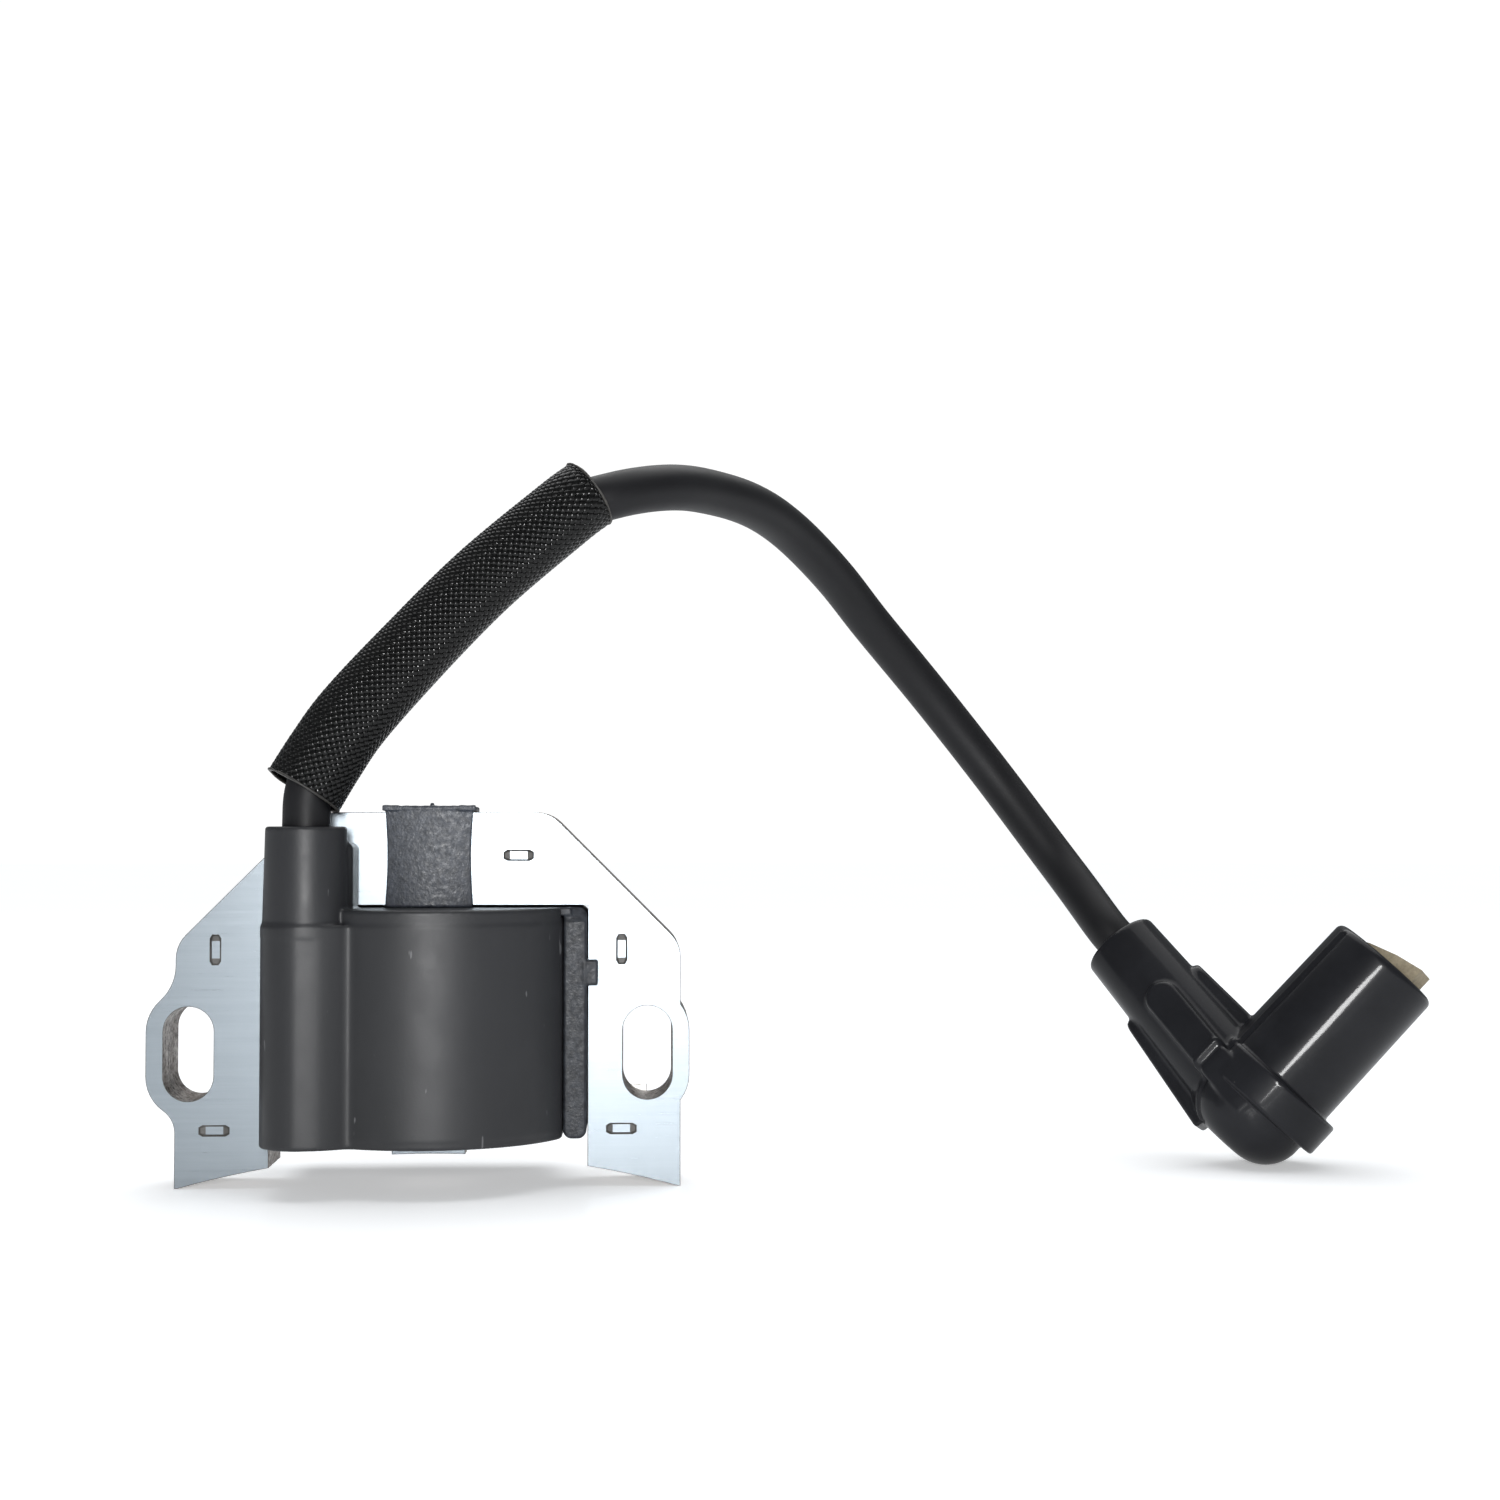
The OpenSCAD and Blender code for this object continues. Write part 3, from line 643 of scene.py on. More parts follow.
def yarn_points(at, total, s, hand, start):
    """A yarn that turns to the left or right: a ring of points at each place s along it."""
    angle = hand * TURN_RATE * s + start
    # over one yarn of the other set, and under the next
    lift = hand * YARN_RISE * np.tanh(1.6 * np.sin(YARNS * TURN_RATE * s))
    ring = []
    for a, h in zip(YARN_ACROSS * YARN_W, YARN_LIFT * YARN_T):
        place = s - a * math.sin(BRAID_LEAN)
        turned = angle + hand * a * math.cos(BRAID_LEAN) / BRAID_R[1]
        ring.append(at(end_cut(place, turned, total), turned, lift + h))
    return np.stack(ring, 1).reshape(-1, 3)


def add_sleeve(yarn, melted):
    """A braid of two sets of yarns that pass over and under each other, with sealed ends."""
    at, total = braid_surface(smooth_path(SLEEVE_ROUTE, 12))
    first, last = -1.6, total + 1.2  # past both ends, which end_cut() then trims
    steps = int(2 * YARNS * TURN_RATE * (last - first) / (2 * math.pi)) * STEPS_PER_CROSSING
    s = np.linspace(first, last, steps)
    sides = len(YARN_ACROSS)
    points, faces = [], []
    for hand in (1, -1):
        for number in range(YARNS):
            start = 2 * math.pi * (number + (hand < 0) * 0.5) / YARNS
            base = len(points) * steps * sides
            points.append(yarn_points(at, total, s, hand, start))
            faces += ring_faces(steps, sides, base)
            faces.append([base + k for k in range(sides)][::-1])
            faces.append([base + (steps - 1) * sides + k for k in range(sides)])
    yarn_faces = len(faces)
    for beyond in (-5.0, total + 5.0):  # well past each end, for end_cut() to bring back
        bead_points, bead_faces = sealed_edge(at, total, beyond)
        base = sum(len(p) for p in points)
        points.append(bead_points)
        faces += [[base + i for i in face] for face in bead_faces]
    obj = make_mesh("braided_sleeve_yarn", np.concatenate(points), faces, [yarn, melted])
    obj.data.polygons.foreach_set("material_index",
                                  [int(i >= yarn_faces) for i in range(len(faces))])
    return finish_piece(obj, "coil", "braid", "braided_sleeve")


def sealed_edge(at, total, beyond):
    """The uneven bead where the yarns' ends are melted together."""
    around, sides = 120, 8
    angle = 2 * math.pi * np.arange(around) / around
    s = end_cut(np.full(around, beyond), angle, total)
    thick = 0.24 + 0.05 * np.sin(7 * angle) + rng.uniform(-0.03, 0.03, around)
    turn = 2 * math.pi * np.arange(sides) / sides
    rings = [at(s + thick * 0.8 * math.sin(t), angle, thick * 1.25 * math.cos(t)) for t in turn]
    return np.stack(rings, 1).reshape(-1, 3), ring_faces(around, sides, closed=True)


# ---- core

def outline_loops(node, face_y):
    """The closed loops round a CAD node's flat faces at one Y, as arrays of X and Z in mm."""
    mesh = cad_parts[node].data
    place = [(round(v.co.x / MM, 3), round(v.co.y / MM, 3), round(v.co.z / MM, 3))
             for v in mesh.vertices]
    uses = {}
    for polygon in mesh.polygons:
        corners = [place[i] for i in polygon.vertices]
        if all(abs(c[1] - face_y) < 0.01 for c in corners):
            for a, b in zip(corners, corners[1:] + corners[:1]):
                uses[(a, b)] = uses.get((a, b), 0) + 1
    follow = {a: b for a, b in uses if (b, a) not in uses}
    loops = []
    while follow:
        start, point = next(iter(follow.items()))
        loop = [start]
        del follow[start]
        while point != start:
            loop.append(point)
            point = follow.pop(point)
        loops.append(np.array([(p[0], p[2]) for p in loop]))
    return loops


def shifted(loop, distance):
    """A back face's loop moved into the material by a distance, square to its edges."""
    before, after = np.roll(loop, 1, 0), np.roll(loop, -1, 0)
    first = (loop - before) / np.linalg.norm(loop - before, axis=1)[:, None]
    second = (after - loop) / np.linalg.norm(after - loop, axis=1)[:, None]
    normal = np.stack([first[:, 1] + second[:, 1], -first[:, 0] - second[:, 0]], 1)
    length = np.linalg.norm(normal, axis=1)[:, None]
    return loop + distance * normal / np.maximum(length ** 2 / 2, 0.5)


PLATES = 24
PLATE_CHAMFER = 0.07
ROLL_OVER = 0.12  # where the punch enters each outer plate


# The pressed stakes: distance from the middle of the core, height, and whether they lie along X.
STAKES = ((30.3, 8.6, True), (30.3, 35.5, False), (14.8, 49.6, True))
STAKE_SIDES = 8
# Rim, groove and floor of a stake: half its length, half its width, depth, cut off each corner.
STAKE_RINGS = ((2.3, 0.86, 0, 0.6), (2.05, 0.6, 0.3, 0.42), (1.3, 0.58, 0.42, 0.05))
# Materials of the core, by number; the third is a dark grey, painted shade in the stakes' grooves
# and on the front plate's rim.
FACE, EDGE, PAINTED_SHADE = 0, 1, 2


def stake_places():
    """Centres of the stakes that hold the plates together, and whether each lies along X."""
    middle = (core_low[0] + core_high[0]) / 2
    return [((middle + side * x, z), along_x) for side in (-1, 1) for x, z, along_x in STAKES]


def stake_points(centre, along_x):
    """The rings of a pressed stake, eight points each, as X, depth and Z."""
    out = []
    for half, half_w, depth, cut_off in STAKE_RINGS:
        long, short = half - cut_off, half_w - 0.6 * cut_off
        for a, b in ((-long, -half_w), (long, -half_w), (half, -short), (half, short),
                     (long, half_w), (-long, half_w), (-half, short), (-half, -short)):
            across, up = (a, b) if along_x else (b, a)
            out.append((centre[0] + across, depth, centre[1] + up))
    return np.array(out)


def facing(points, corners, wanted):
    """The corners in the order that makes their face look along a direction."""
    a, b, c = (points[i] for i in corners[:3])
    return corners if np.cross(b - a, c - a) @ wanted > 0 else corners[::-1]


def plate_levels(front_y, back_y):
    """Depths from front to back, each with how far the outline is drawn in there."""
    plate_t = (back_y - front_y) / PLATES
    levels = []
    for k in range(PLATES):
        y = front_y + k * plate_t
        drawn_in = rng.uniform(0, 0.08)
        levels += [(y, PLATE_CHAMFER + 0.02), (y + PLATE_CHAMFER, drawn_in),
                   (y + plate_t - PLATE_CHAMFER, drawn_in)]
    levels.append((back_y, ROLL_OVER))
    levels[0] = (front_y, ROLL_OVER)
    levels.insert(1, (front_y + 0.03, 0.05))
    levels[-2] = (back_y - ROLL_OVER, 0)
    return levels


def stake_faces(every, first, side, centre):
    """Walls and floor of a stake whose points start at a number, and each face's material."""
    n = STAKE_SIDES
    opening = np.array((centre[0], side * 10, centre[1]))
    walls = [[first + r + k, first + r + (k + 1) % n, first + r + n + (k + 1) % n,
              first + r + n + k] for r in (0, n) for k in range(n)]
    rings = walls + [list(range(first + 2 * n, first + 3 * n))]
    # The stake's walls, all but the long sides of its groove, are painted shade.
    long_side = [FACE] + [PAINTED_SHADE] * 3
    marks = [PAINTED_SHADE] * n + 2 * long_side + [FACE]
    return [facing(every, ring, opening - every[ring].mean(0)) for ring in rings], marks


def add_core(face, edge, shade_material):
    """A stack of plates: each one's edge has its own chamfers and a hair's own offset."""
    back_y, front_y = core_high[1], core_low[1]
    levels = plate_levels(front_y, back_y)
    points, faces, marks = [], [], []
    total = 0
    caps = {-1: [], 1: []}
    for loop in outline_loops("core_stack", back_y):
        n = len(loop)
        points += [np.insert(shifted(loop, drawn_in), 1, y, axis=1) for y, drawn_in in levels]
        faces += ring_faces(len(levels), n, total)
        # The front plate's rolled-over rim takes the dark grey of painted shade.
        marks += [PAINTED_SHADE] * n + [EDGE] * n * (len(levels) - 2)
        caps[-1].append(list(range(total, total + n)))
        caps[1].append(list(range(total + (len(levels) - 1) * n, total + len(levels) * n)))
        total += len(levels) * n
    stakes = []
    for side, y in ((-1, front_y), (1, back_y)):
        for centre, along_x in stake_places():
            pit = stake_points(centre, along_x)
            pit[:, 1] = y - side * pit[:, 1]
            points.append(pit)
            caps[side].append(list(range(total, total + STAKE_SIDES)))
            stakes.append((total, side, centre))
            total += len(pit)
    every = np.concatenate(points)
    for side, rings in caps.items():
        flat = [[Vector((every[i][0], every[i][2], 0)) for i in ring] for ring in rings]
        index = [i for ring in rings for i in ring]
        for tri in tessellate_polygon(flat):
            faces.append(facing(every, [index[t] for t in tri], np.array((0, side, 0))))
            marks.append(FACE)
    for first, side, centre in stakes:
        stake, stake_marks = stake_faces(every, first, side, centre)
        faces += stake
        marks += stake_marks
    obj = make_mesh("core_plates", every, faces, [face, edge, shade_material], smooth=False)
    obj.data.polygons.foreach_set("material_index", marks)
    return finish_piece(obj, "coil", "lamination_steel", "core_stack")


# ---- moulded pieces of the coil

TOWER = np.array((-15.7, -15.0))  # its axis
TOWER_TOP = 53.9
COIL_BOTTOM, COIL_TOP = 7.4, 41.8
SHOULDER = 39.7  # top of the column, where the tower starts


BARREL_R = 21.7
CASE_RIGHT = 21.5  # where the flange's plastic starts
COLUMN_FLANK = math.radians(25)  # how far the column's right side turns from the front


def case_plans(x, y):
    """The case seen from above: below the column's shoulder, and above it."""
    barrel = smooth_max(np.hypot(x - leg_mid, y) - BARREL_R, x - CASE_RIGHT, 0.5)
    tub = rect(x, y, (-22.1, -3), (CASE_RIGHT, BARREL_R), 2.6)
    column = rect(x, y, (-22.15, -21.5), (-7.2, 9), 6.2)
    flank = (x + 12.6) * math.sin(COLUMN_FLANK) - (y + 21.2) * math.cos(COLUMN_FLANK)
    column = smooth_max(column, flank, 1.6)
    low_plan = joined([smooth_min(barrel, column, 1.1), tub], 1.4)
    behind_tower = rect(x, y, (-22.1, -15.5), (0, BARREL_R), 2.0)
    return low_plan, joined([barrel, behind_tower, tub], 1.0)


def case_openings(x, y, z):
    """What the case leaves free, in the order in which it is cut."""
    radial = np.hypot(x - TOWER[0], y - TOWER[1])
    leg_hole = rect(x - leg_mid, y, (-6.9, -7.35), (6.9, 7.35), 1.5)
    flange_lap = block(x, y, z, (0.4, -8.6, 40.45), (23, 8.6, 43), 0.2)
    potted_space = block(x, y, z, (-20.6, 16.2, 8.9), (20.1, 24, 40.3), 1.2)
    lead_bore = np.maximum(radial - 4.15, 36 - z)
    blade_slit = block(x, y, z, (-14.4, 16.1, 38.8), (-7.6, 17.4, 43), 0.2)
    strip_slit = block(x, y, z, (18, 18.7, 9.8), (24, 19.3, 14.2), 0.1)
    return leg_hole, flange_lap, potted_space, lead_bore, blade_slit, strip_slit


def case_field(x, y, z):
    """The case: barrel in front, tub behind, column at the left with the lead's tower on it."""
    low_plan, high_plan = case_plans(x, y)
    body = smooth_min(corner(low_plan, span(z, COIL_BOTTOM, SHOULDER), 0.45),
                      corner(high_plan, span(z, COIL_BOTTOM + 1, COIL_TOP), 0.45), 0.35)
    radial = np.hypot(x - TOWER[0], y - TOWER[1])
    tower = cone(radial, z, SHOULDER - 2, TOWER_TOP, 6.32, 5.9, 0.45)
    web = block(x, y, z, (-21.0, -15, 40.5), (-9.0, -6.9, 51.5), 1.0)
    body = joined([body, smooth_min(tower, web, 0.8)], 0.5)
    for tool in case_openings(x, y, z):
        body = cut(body, tool, 0.35)
    return body


def frame_field(x, y, z):
    """The coil former: flange, the plate above the coil, the tube round the leg, and the key."""
    flange_xz = rect(x, z, (21.62, COIL_BOTTOM), (25.1, COIL_TOP), 1.3)
    slope = 0.35 * np.maximum(z - 39.6, 0)
    flange = corner(flange_xz, np.abs(y) - 8.5 + slope, 0.45)
    plate = block(x, y, z, (1.5, -8.5, 40.6), (22.8, 8.5, COIL_TOP), 0.25)
    tube = corner(rect(x - leg_mid, y, (-6.8, -7.25), (6.8, 7.25), 1.5),
                  span(z, COIL_BOTTOM, COIL_TOP), 0.3)
    key = block(x, y, z, (24.5, -8.5, 30.2), (26.75, -6.05, 34), 0.35)
    body = joined([flange, plate, tube, key], 0.4)
    leg = rect(x - leg_mid, y, (-5.7, -6.15), (5.7, 6.15), 0.3)
    return cut(body, leg, 0.25)


STRAP_TOP = 57.0


def strap_field(x, y, z):
    """The saddle over the yoke, with a sprue's stub, horns and flash along its top."""
    height = np.clip((z - COIL_TOP) / 15, 0, 1)  # 0 at the foot, about 1 at the top
    waist = 0.35 * np.sin(height * math.pi)
    off = x - leg_mid
    crown = (0.75 - 0.45 * height) * (off / 6.5) ** 2
    outer = corner(np.maximum(span(off, -6.55, 6.55) + waist, np.abs(y) - 7.9 + crown),
                   span(z, COIL_TOP + 0.05, STRAP_TOP), 0.35)
    sprue = cone(np.hypot(off - 0.4, y + 7.0), z, 56, 57.45, 0.5, 0.25, 0.1)
    horns = block(np.abs(off), y, z, (4.5, -7.9, 56.3), (6.95, -7.2, 57.1), 0.12)
    flash = block(x, y, z, (leg_mid - 6.7, -7.85, 56.45), (leg_mid + 6.7, -7.55, STRAP_TOP), 0.1)
    rough_top = 0.035 * np.sin(x * 3.1 + 1) * np.sin(x * 1.3 + y * 2.3) * np.clip(z - 56, 0, 1)
    inner = np.maximum(span(y, -6.05, 6.05), z - 56.15)
    return cut(joined([outer, sprue, horns, flash], 0.25) + rough_top, inner, 0.2)


def seal_field(x, y, z):
    """The sealant round the lead, with a hollow in its top."""
    radial = np.hypot(x - TOWER[0], y - TOWER[1])
    sag = 0.35 * np.clip((radial - 3.5) * (4.1 - radial) / 0.09, 0, 1)
    return np.maximum(np.abs(radial - 3.83) - 0.3, np.maximum(40 - z, z - 53.35 + sag))


def add_moulded(name, field, low, high, step, material, slot, node):
    points, quads = skin(field, low, high, step)
    return finish_piece(make_mesh(name, points, quads, [material]), "coil", slot, node)


RESIN_LOW, RESIN_HIGH = (-20.6, 8.9), (20.1, 40.3)  # X and Z inside the tub's walls
RESIN_FACE, RESIN_INSIDE = 20.62, 16.4  # Y of the cast face and of its far side


def resin_surface(x, z):
    """Y of the cast face: it creeps up the tub's walls and the blade, and waves a little."""
    edge = np.minimum(np.minimum(x - RESIN_LOW[0], RESIN_HIGH[0] - x),
                      np.minimum(z - RESIN_LOW[1], RESIN_HIGH[1] - z))
    y = RESIN_FACE + 0.4 * np.exp(-edge / 0.7) + 0.05 * np.sin(x * 0.31 + 1) * np.cos(z * 0.27)
    return y + 0.22 * np.exp(-((x + 11) ** 2 + (z - 39.5) ** 2) / 9)


def add_resin(material):
    """A closed slab under the cast face."""
    x, z = np.meshgrid(np.linspace(RESIN_LOW[0], RESIN_HIGH[0], 110),
                       np.linspace(RESIN_LOW[1], RESIN_HIGH[1], 90), indexing="ij")
    n, m = x.shape
    top = np.stack([x, resin_surface(x, z), z], -1).reshape(-1, 3)
    back = top.copy()
    back[:, 1] = RESIN_INSIDE
    faces = []
    for i in range(n - 1):
        for k in range(m - 1):
            a = i * m + k
            faces.append([a, a + 1, a + m + 1, a + m])
            faces.append([n * m + a + m, n * m + a + m + 1, n * m + a + 1, n * m + a])
    rim = ([i * m for i in range(n)] + [(n - 1) * m + k for k in range(1, m)]
           + [i * m + m - 1 for i in range(n - 2, -1, -1)] + [k for k in range(m - 2, 0, -1)])
    for a, b in zip(rim, rim[1:] + rim[:1]):
        faces.append([a, b, n * m + b, n * m + a])
    obj = make_mesh("resin_face", np.concatenate([top, back]), faces, [material])
    return finish_piece(obj, "coil", "resin", "potting_resin")


# ---- the boot

BOOT_R, MOUTH_R, BOOT_LEN = 9.7, 9.35, 30.8  # the barrel tapers to its mouth
DOME_DEPTH, DOME_FILLET = 7.8, 6.7  # below the elbow's centre
COLLAR_LEN = 35.0
BAND_R, BAND_H, BAND_SHIFT = 10.95, 5.7, 0.7  # the band round the elbow, set away from the collar
RIB_HALF_W, RIB_END = 2.75, 20.9  # ribs on the collar; where their round ends start
SEAM_ANGLE = math.radians(-44)  # the parting line's place round the barrel

side_dir = np.cross(COLLAR_DIR, BARREL_DIR)
side_dir /= np.linalg.norm(side_dir)
collarward = np.cross(BARREL_DIR, side_dir)  # square to the barrel, towards the collar
COLLAR_ACROSS = float(COLLAR_DIR @ collarward)
COLLAR_UP = float(COLLAR_DIR @ BARREL_DIR)
to_boot = np.stack([collarward, side_dir, BARREL_DIR])


def boot_places(points):
    """Points in the boot's own axes brought to the row frame, in mm."""
    return points @ to_boot + ELBOW / MM


# The boot's fields are in its own axes: X towards the collar, Y across, Z along the barrel
# to its mouth.

def from_collar(x, z):
    """Places along the collar's axis, and square to it in its plane with the barrel."""
    return x * COLLAR_ACROSS + z * COLLAR_UP, -x * COLLAR_UP + z * COLLAR_ACROSS


def barrel_field(x, y, z):
    """The smooth barrel with its domed foot."""
    radial = np.hypot(x, y)
    side = radial - np.interp(z, [0, BOOT_LEN], [BOOT_R, MOUTH_R])
    barrel = corner(side, z - BOOT_LEN, 1.1)
    flat = BOOT_R - DOME_FILLET
    foot = np.hypot(np.maximum(radial - flat, 0), np.maximum(DOME_FILLET - DOME_DEPTH - z, 0))
    foot = np.where(z < DOME_FILLET - DOME_DEPTH,
                    np.where(radial < flat, -DOME_DEPTH - z, foot - DOME_FILLET), barrel)
    return np.maximum(barrel, foot)


def collar_field(x, y, z):
    """The collar round the lead, with two pairs of ribs that shorten towards its end."""
    along, up = from_collar(x, z)
    collar = cone(np.hypot(up, y), along, 0, COLLAR_LEN, 7.5, 6.35, 0.7)
    tall = np.interp(along, [0, 23.5], [9.8, 7.7])
    ribs = []
    for outwards, tangent, first in ((up, y, 2.5), (y, up, -2)):
        plan = np.hypot(tangent, np.maximum(along - RIB_END, 0)) - RIB_HALF_W
        ribs.append(corner(np.maximum(plan, first - along), np.abs(outwards) - tall, 0.7))
    return joined([collar] + ribs, 0.7)


def seam_height(x, y, z):
    """The mould's parting line: a thin ridge beside a shallow groove."""
    off_plane = x * math.sin(SEAM_ANGLE) - y * math.cos(SEAM_ANGLE)
    ridge = 0.3 * np.exp(-(off_plane / 0.3) ** 2)
    groove = 0.26 * np.exp(-((off_plane - 0.8) / 0.35) ** 2)
    return np.where(np.hypot(x, y) > 5, ridge - groove, 0) * (z < BOOT_LEN - 1)


def boot_field(x, y, z):
    """The whole boot, with its openings for the lead and the plug."""
    body = smooth_min(barrel_field(x, y, z), collar_field(x, y, z), 0.55)
    band = corner(np.hypot(x + BAND_SHIFT, y) - BAND_R, span(z, 0, BAND_H), 0.5)
    body = smooth_min(body, band, 0.35) - seam_height(x, y, z)
    along, up = from_collar(x, z)
    radial = np.hypot(x, y)
    lead_hole = np.maximum(np.hypot(up, y) - 3.56, 10.9 - along)
    mouth = np.maximum(radial - 6.95, 19.2 - z)
    seal = np.maximum(radial - 5.25, 13 - z)
    chamber = np.maximum(radial - 4.25, -2.5 - z)
    for tool in (lead_hole, mouth, seal, chamber):
        body = cut(body, tool, 0.4)
    return body


def add_boot(material):
    points, quads = skin(boot_field, (-12.5, -11, -9), (37, 11, 33), 0.34)
    obj = make_mesh("spark_plug_boot", boot_places(points), quads, [material])
    return finish_piece(obj, "boot", "boot_rubber", "plug_boot")


LINER_SIDES, LINER_RINGS = 9, 12
LINER_R, LINER_WALL = 6.75, 0.5
LINER_FOOT = 19.3


def liner_outline(r, wobble):
    """X and Y round the liner: flats with three points each and slightly uneven corners."""
    out = []
    for k in range(LINER_SIDES):
        middle = 2 * math.pi * (k + 0.5) / LINER_SIDES + 0.2
        for part in (0, 1, 2):
            angle = 2 * math.pi * (k + part / 3) / LINER_SIDES + 0.2
            flat = math.cos(math.pi / LINER_SIDES) / math.cos(angle - middle)
            here = r * flat + wobble[k] * (1 if part == 0 else 0.3)
            out.append((here * math.cos(angle), here * math.sin(angle)))
    return np.array(out)


def add_liner(material):
    """The rolled liner in the mouth: flat-sided, a little crushed, and cut off askew."""
    wobble = rng.uniform(-0.12, 0.12, LINER_SIDES)
    points = []
    for r in (LINER_R, LINER_R - LINER_WALL):
        x, y = liner_outline(r, wobble).T
        top = 31.5 - 0.287 * x - 0.05 * y
        points += [np.stack([x, y, LINER_FOOT + share * (top - LINER_FOOT)], 1)
                   for share in np.linspace(0, 1, LINER_RINGS)]
    points = np.concatenate(points)
    n = len(x)
    shell = LINER_RINGS * n  # the inner wall's points start here
    faces = ring_faces(LINER_RINGS, n)
    faces += [quad[::-1] for quad in ring_faces(LINER_RINGS, n, shell)]
    last = (LINER_RINGS - 1) * n
    for k in range(n):
        m = (k + 1) % n
        faces.append([m, k, shell + k, shell + m])
        faces.append([last + k, last + m, shell + last + m, shell + last + k])
    obj = make_mesh("mouth_liner_roll", boot_places(points), faces, [material], smooth=False)
    return finish_piece(obj, "boot", "fibre_liner", "mouth_liner")


# ---- the floor

FLOOR_R = 4000
FLOOR_GLOW = 0.35  # keeps the floor white out to its edge, as the backdrop is


def add_floor():
    """A plain white studio floor, in rings that widen outwards."""
    rings, sides = 24, 64
    turn = [2 * math.pi * k / sides for k in range(sides)]
    points, faces = [(0, 0, 0)], []
    for i in range(1, rings + 1):
        r = FLOOR_R * (i / rings) ** 2
        points += [(r * math.cos(t), r * math.sin(t), 0) for t in turn]
    for k in range(sides):
        faces.append([0, 1 + k, 1 + (k + 1) % sides])
        for i in range(rings - 1):
            a, b = 1 + i * sides + k, 1 + i * sides + (k + 1) % sides
            faces.append([a, a + sides, b + sides, b])
    s = Shader("studio_floor")
    s.set(Roughness=0.5)
    s.colour(s.ramp(s.noise(8, 2), [(0.3, (0.86, 0.88, 0.90)), (0.7, (0.88, 0.90, 0.92))]))
    s.set(Emission_Color=(1.0, 1.0, 1.0, 1), Emission_Strength=FLOOR_GLOW)
    make_mesh("floor", points, faces, [s.material])


def add_world():
    """White to look at, with a dimmer and slightly cooler light on the object."""
    world = bpy.data.worlds.new("studio")
    world.use_nodes = True
    bpy.context.scene.world = world
    tree = world.node_tree
    light = tree.nodes["Background"]
    light.inputs["Color"].default_value = (0.93, 0.97, 1.0, 1)
    light.inputs["Strength"].default_value = 0.22
    seen = tree.nodes.new("ShaderNodeBackground")
    seen.inputs["Color"].default_value = (1, 1, 1, 1)
    seen.inputs["Strength"].default_value = 1.05
    path = tree.nodes.new("ShaderNodeLightPath")
    mixed = tree.nodes.new("ShaderNodeMixShader")
    tree.links.new(path.outputs["Is Camera Ray"], mixed.inputs["Fac"])
    tree.links.new(light.outputs["Background"], mixed.inputs[1])
    tree.links.new(seen.outputs["Background"], mixed.inputs[2])
    tree.links.new(mixed.outputs["Shader"], tree.nodes["World Output"].inputs["Surface"])


# ---- the scene

add_camera()
add_lights()
add_world()
add_floor()
bpy.context.scene.view_settings.view_transform = "Standard"

case_plastic = smooth_plastic("case_plastic", (0.011, 0.0115, 0.013), (0.018, 0.0185, 0.021), 0.44)
flange_plastic = textured_plastic("flange_plastic", (0.012, 0.0135, 0.017),
                                  (0.030, 0.034, 0.042), 0.30)
strap_plastic = textured_plastic("strap_plastic", (0.020, 0.024, 0.032),
                                 (0.055, 0.062, 0.078), 0.42)
lead_rubber = rubber("lead_rubber", (0.005, 0.005, 0.006), 0.52, 0.25)
boot_rubber = rubber("boot_rubber", (0.0085, 0.0088, 0.0105), 0.38, 0.10, 0.16)
yarn = braid_yarn()
brass = metal("terminal_brass", (0.72, 0.55, 0.26), (0.50, 0.36, 0.16), 0.28)
tin = metal("tinned_steel", (0.70, 0.70, 0.68), (0.50, 0.49, 0.46), 0.30)
spring = metal("spring_steel", (0.55, 0.55, 0.54), (0.35, 0.34, 0.33), 0.30)

lead, lead_path = add_lead(lead_rubber)
sleeve = add_sleeve(yarn, dull("melted_edge", (0.014, 0.013, 0.012), (0.045, 0.042, 0.037), 0.5))
# The core's third material is a dark grey, painted shade for the stakes and the front rim.
add_core(plate_face(), plate_edge(),
         dull("painted_edge_shade", (0.05, 0.047, 0.043), (0.11, 0.105, 0.10), 0.5))
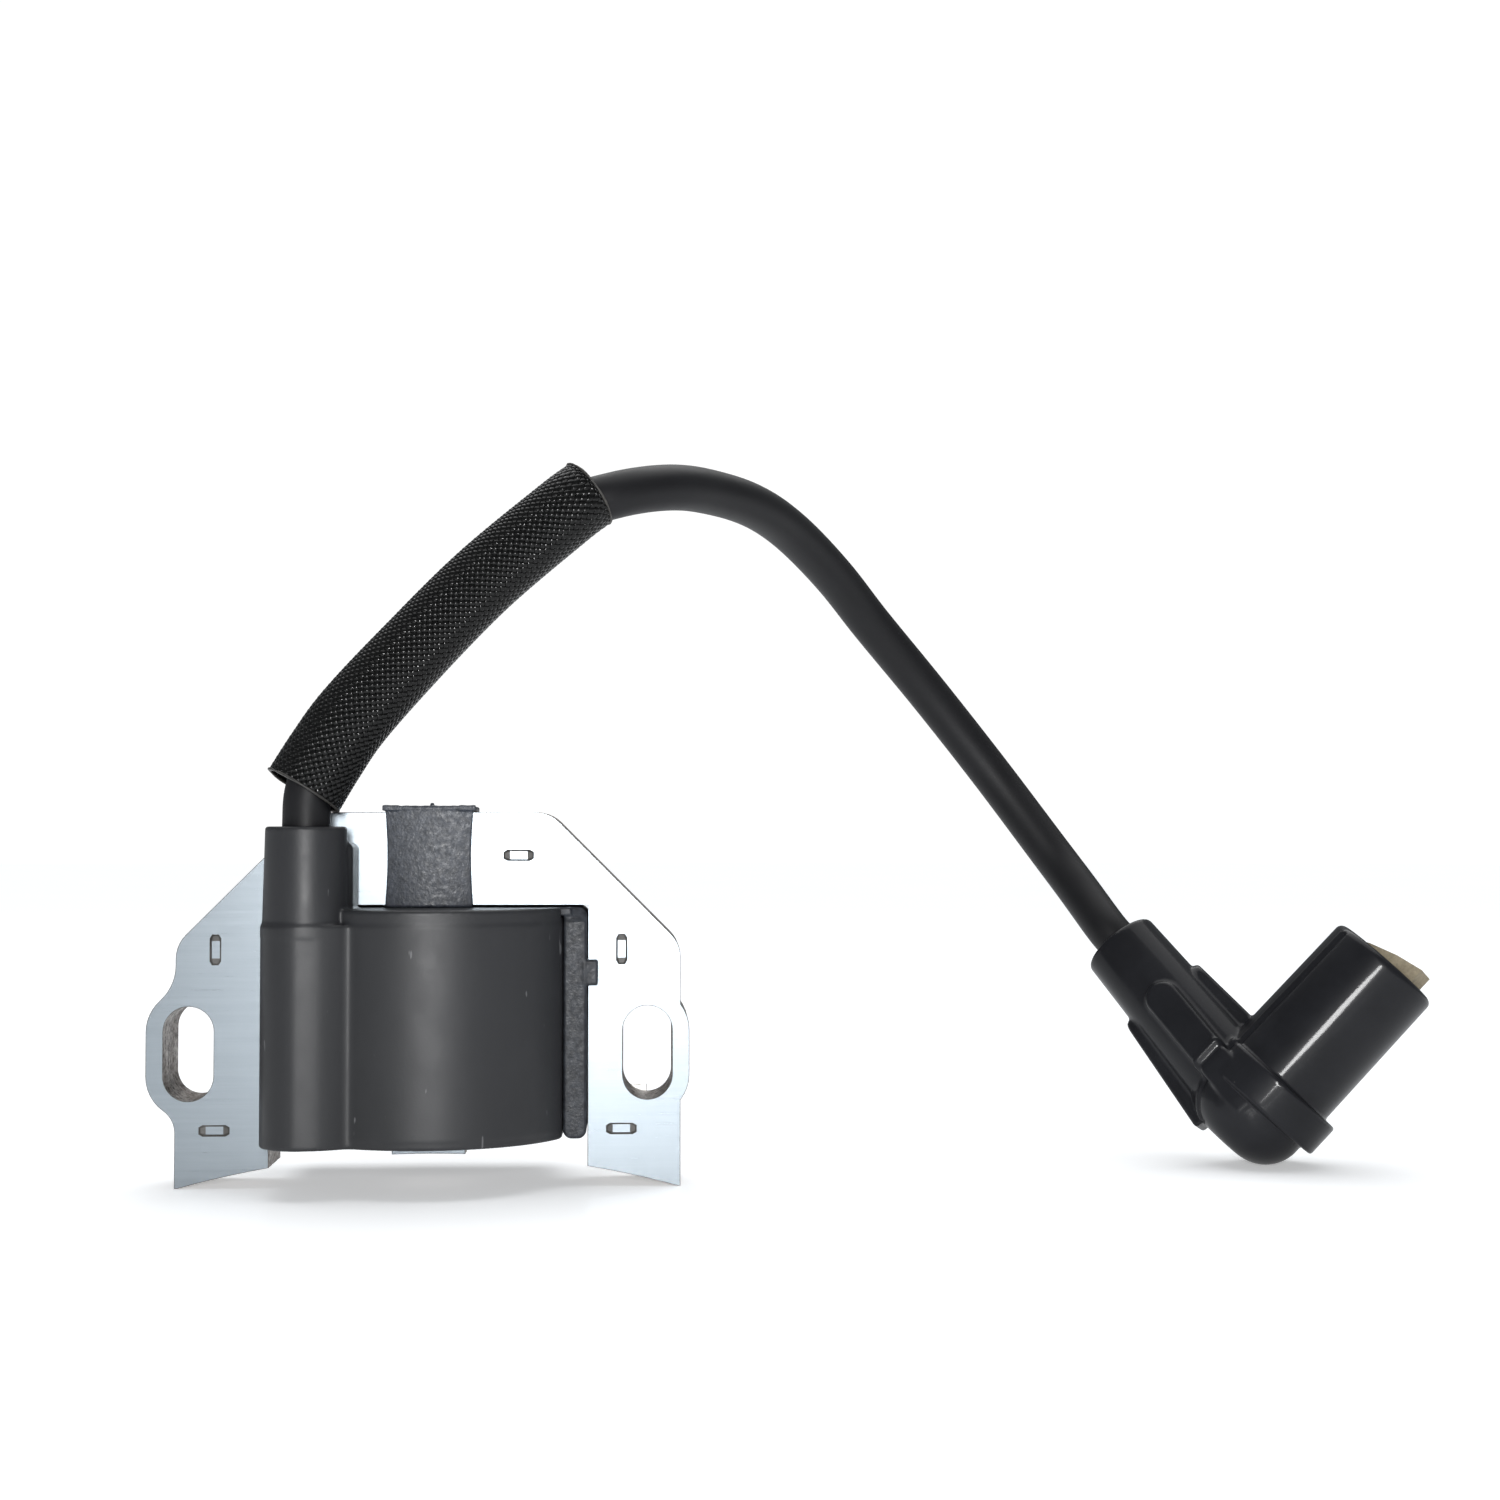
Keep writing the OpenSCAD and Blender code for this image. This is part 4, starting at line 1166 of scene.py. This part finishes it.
# Moulded pieces: field, two corners of its space, step of its mesh, look, slot and CAD node.
add_moulded("coil_case_shell", case_field, (-23.5, -23, 6), (23, 23, 55.5), 0.30,
            case_plastic, "case_plastic", "coil_case")
add_moulded("bobbin_frame_shell", frame_field, (-7, -10, 6), (28, 10, 43), 0.22,
            flange_plastic, "textured_plastic", "bobbin_frame")
add_moulded("saddle_strap_shell", strap_field, (-7, -9, 41), (10, 9, 58.5), 0.16,
            strap_plastic, "textured_plastic", "saddle_strap")
add_moulded("tower_seal_ring", seal_field, (-21, -20, 39), (-11, -10, 54.5), 0.12,
            dull("sealant", (0.010, 0.010, 0.010), (0.020, 0.020, 0.021), 0.45),
            "resin", "tower_seal")
add_resin(epoxy())
boot = add_boot(boot_rubber)
liner = add_liner(fibre_paper())

# The pieces that keep their CAD shape.
dress("primary_winding",
      wound_wire("primary_wire", (0.72, 0.34, 0.14), (0.30, 0.11, 0.04), 0.0006))
dress("secondary_winding",
      wound_wire("secondary_wire", (0.58, 0.25, 0.09), (0.22, 0.08, 0.03), 0.0003))
dress("secondary_bobbin", dull("bobbin_nylon", (0.62, 0.58, 0.47), (0.75, 0.71, 0.60), 0.45))
dress("trigger_board", dull("board_laminate", (0.03, 0.10, 0.03), (0.06, 0.16, 0.05), 0.40))
dress("power_transistor", dull("component_black", (0.012, 0.012, 0.013), (0.03, 0.03, 0.03), 0.5))
dress("trigger_resistor", dull("resistor_body", (0.50, 0.38, 0.22), (0.62, 0.49, 0.30), 0.45))
dress("trigger_diode", dull("diode_body", (0.012, 0.012, 0.013), (0.028, 0.028, 0.03), 0.4))
dress("ground_strip", tin)
dress("stop_terminal", brass)
soften("ground_strip", 0.00012)
soften("stop_terminal", 0.00015)
dress("tower_terminal", brass)
dress("link_wire", metal("bare_copper", (0.80, 0.42, 0.22), (0.55, 0.25, 0.12), 0.3))
dress("lead_conductor", metal("stranded_copper", (0.75, 0.40, 0.20), (0.45, 0.20, 0.10), 0.35))
dress("contact_pin", brass)
dress("plug_clip", spring)

length_of(lead_path)
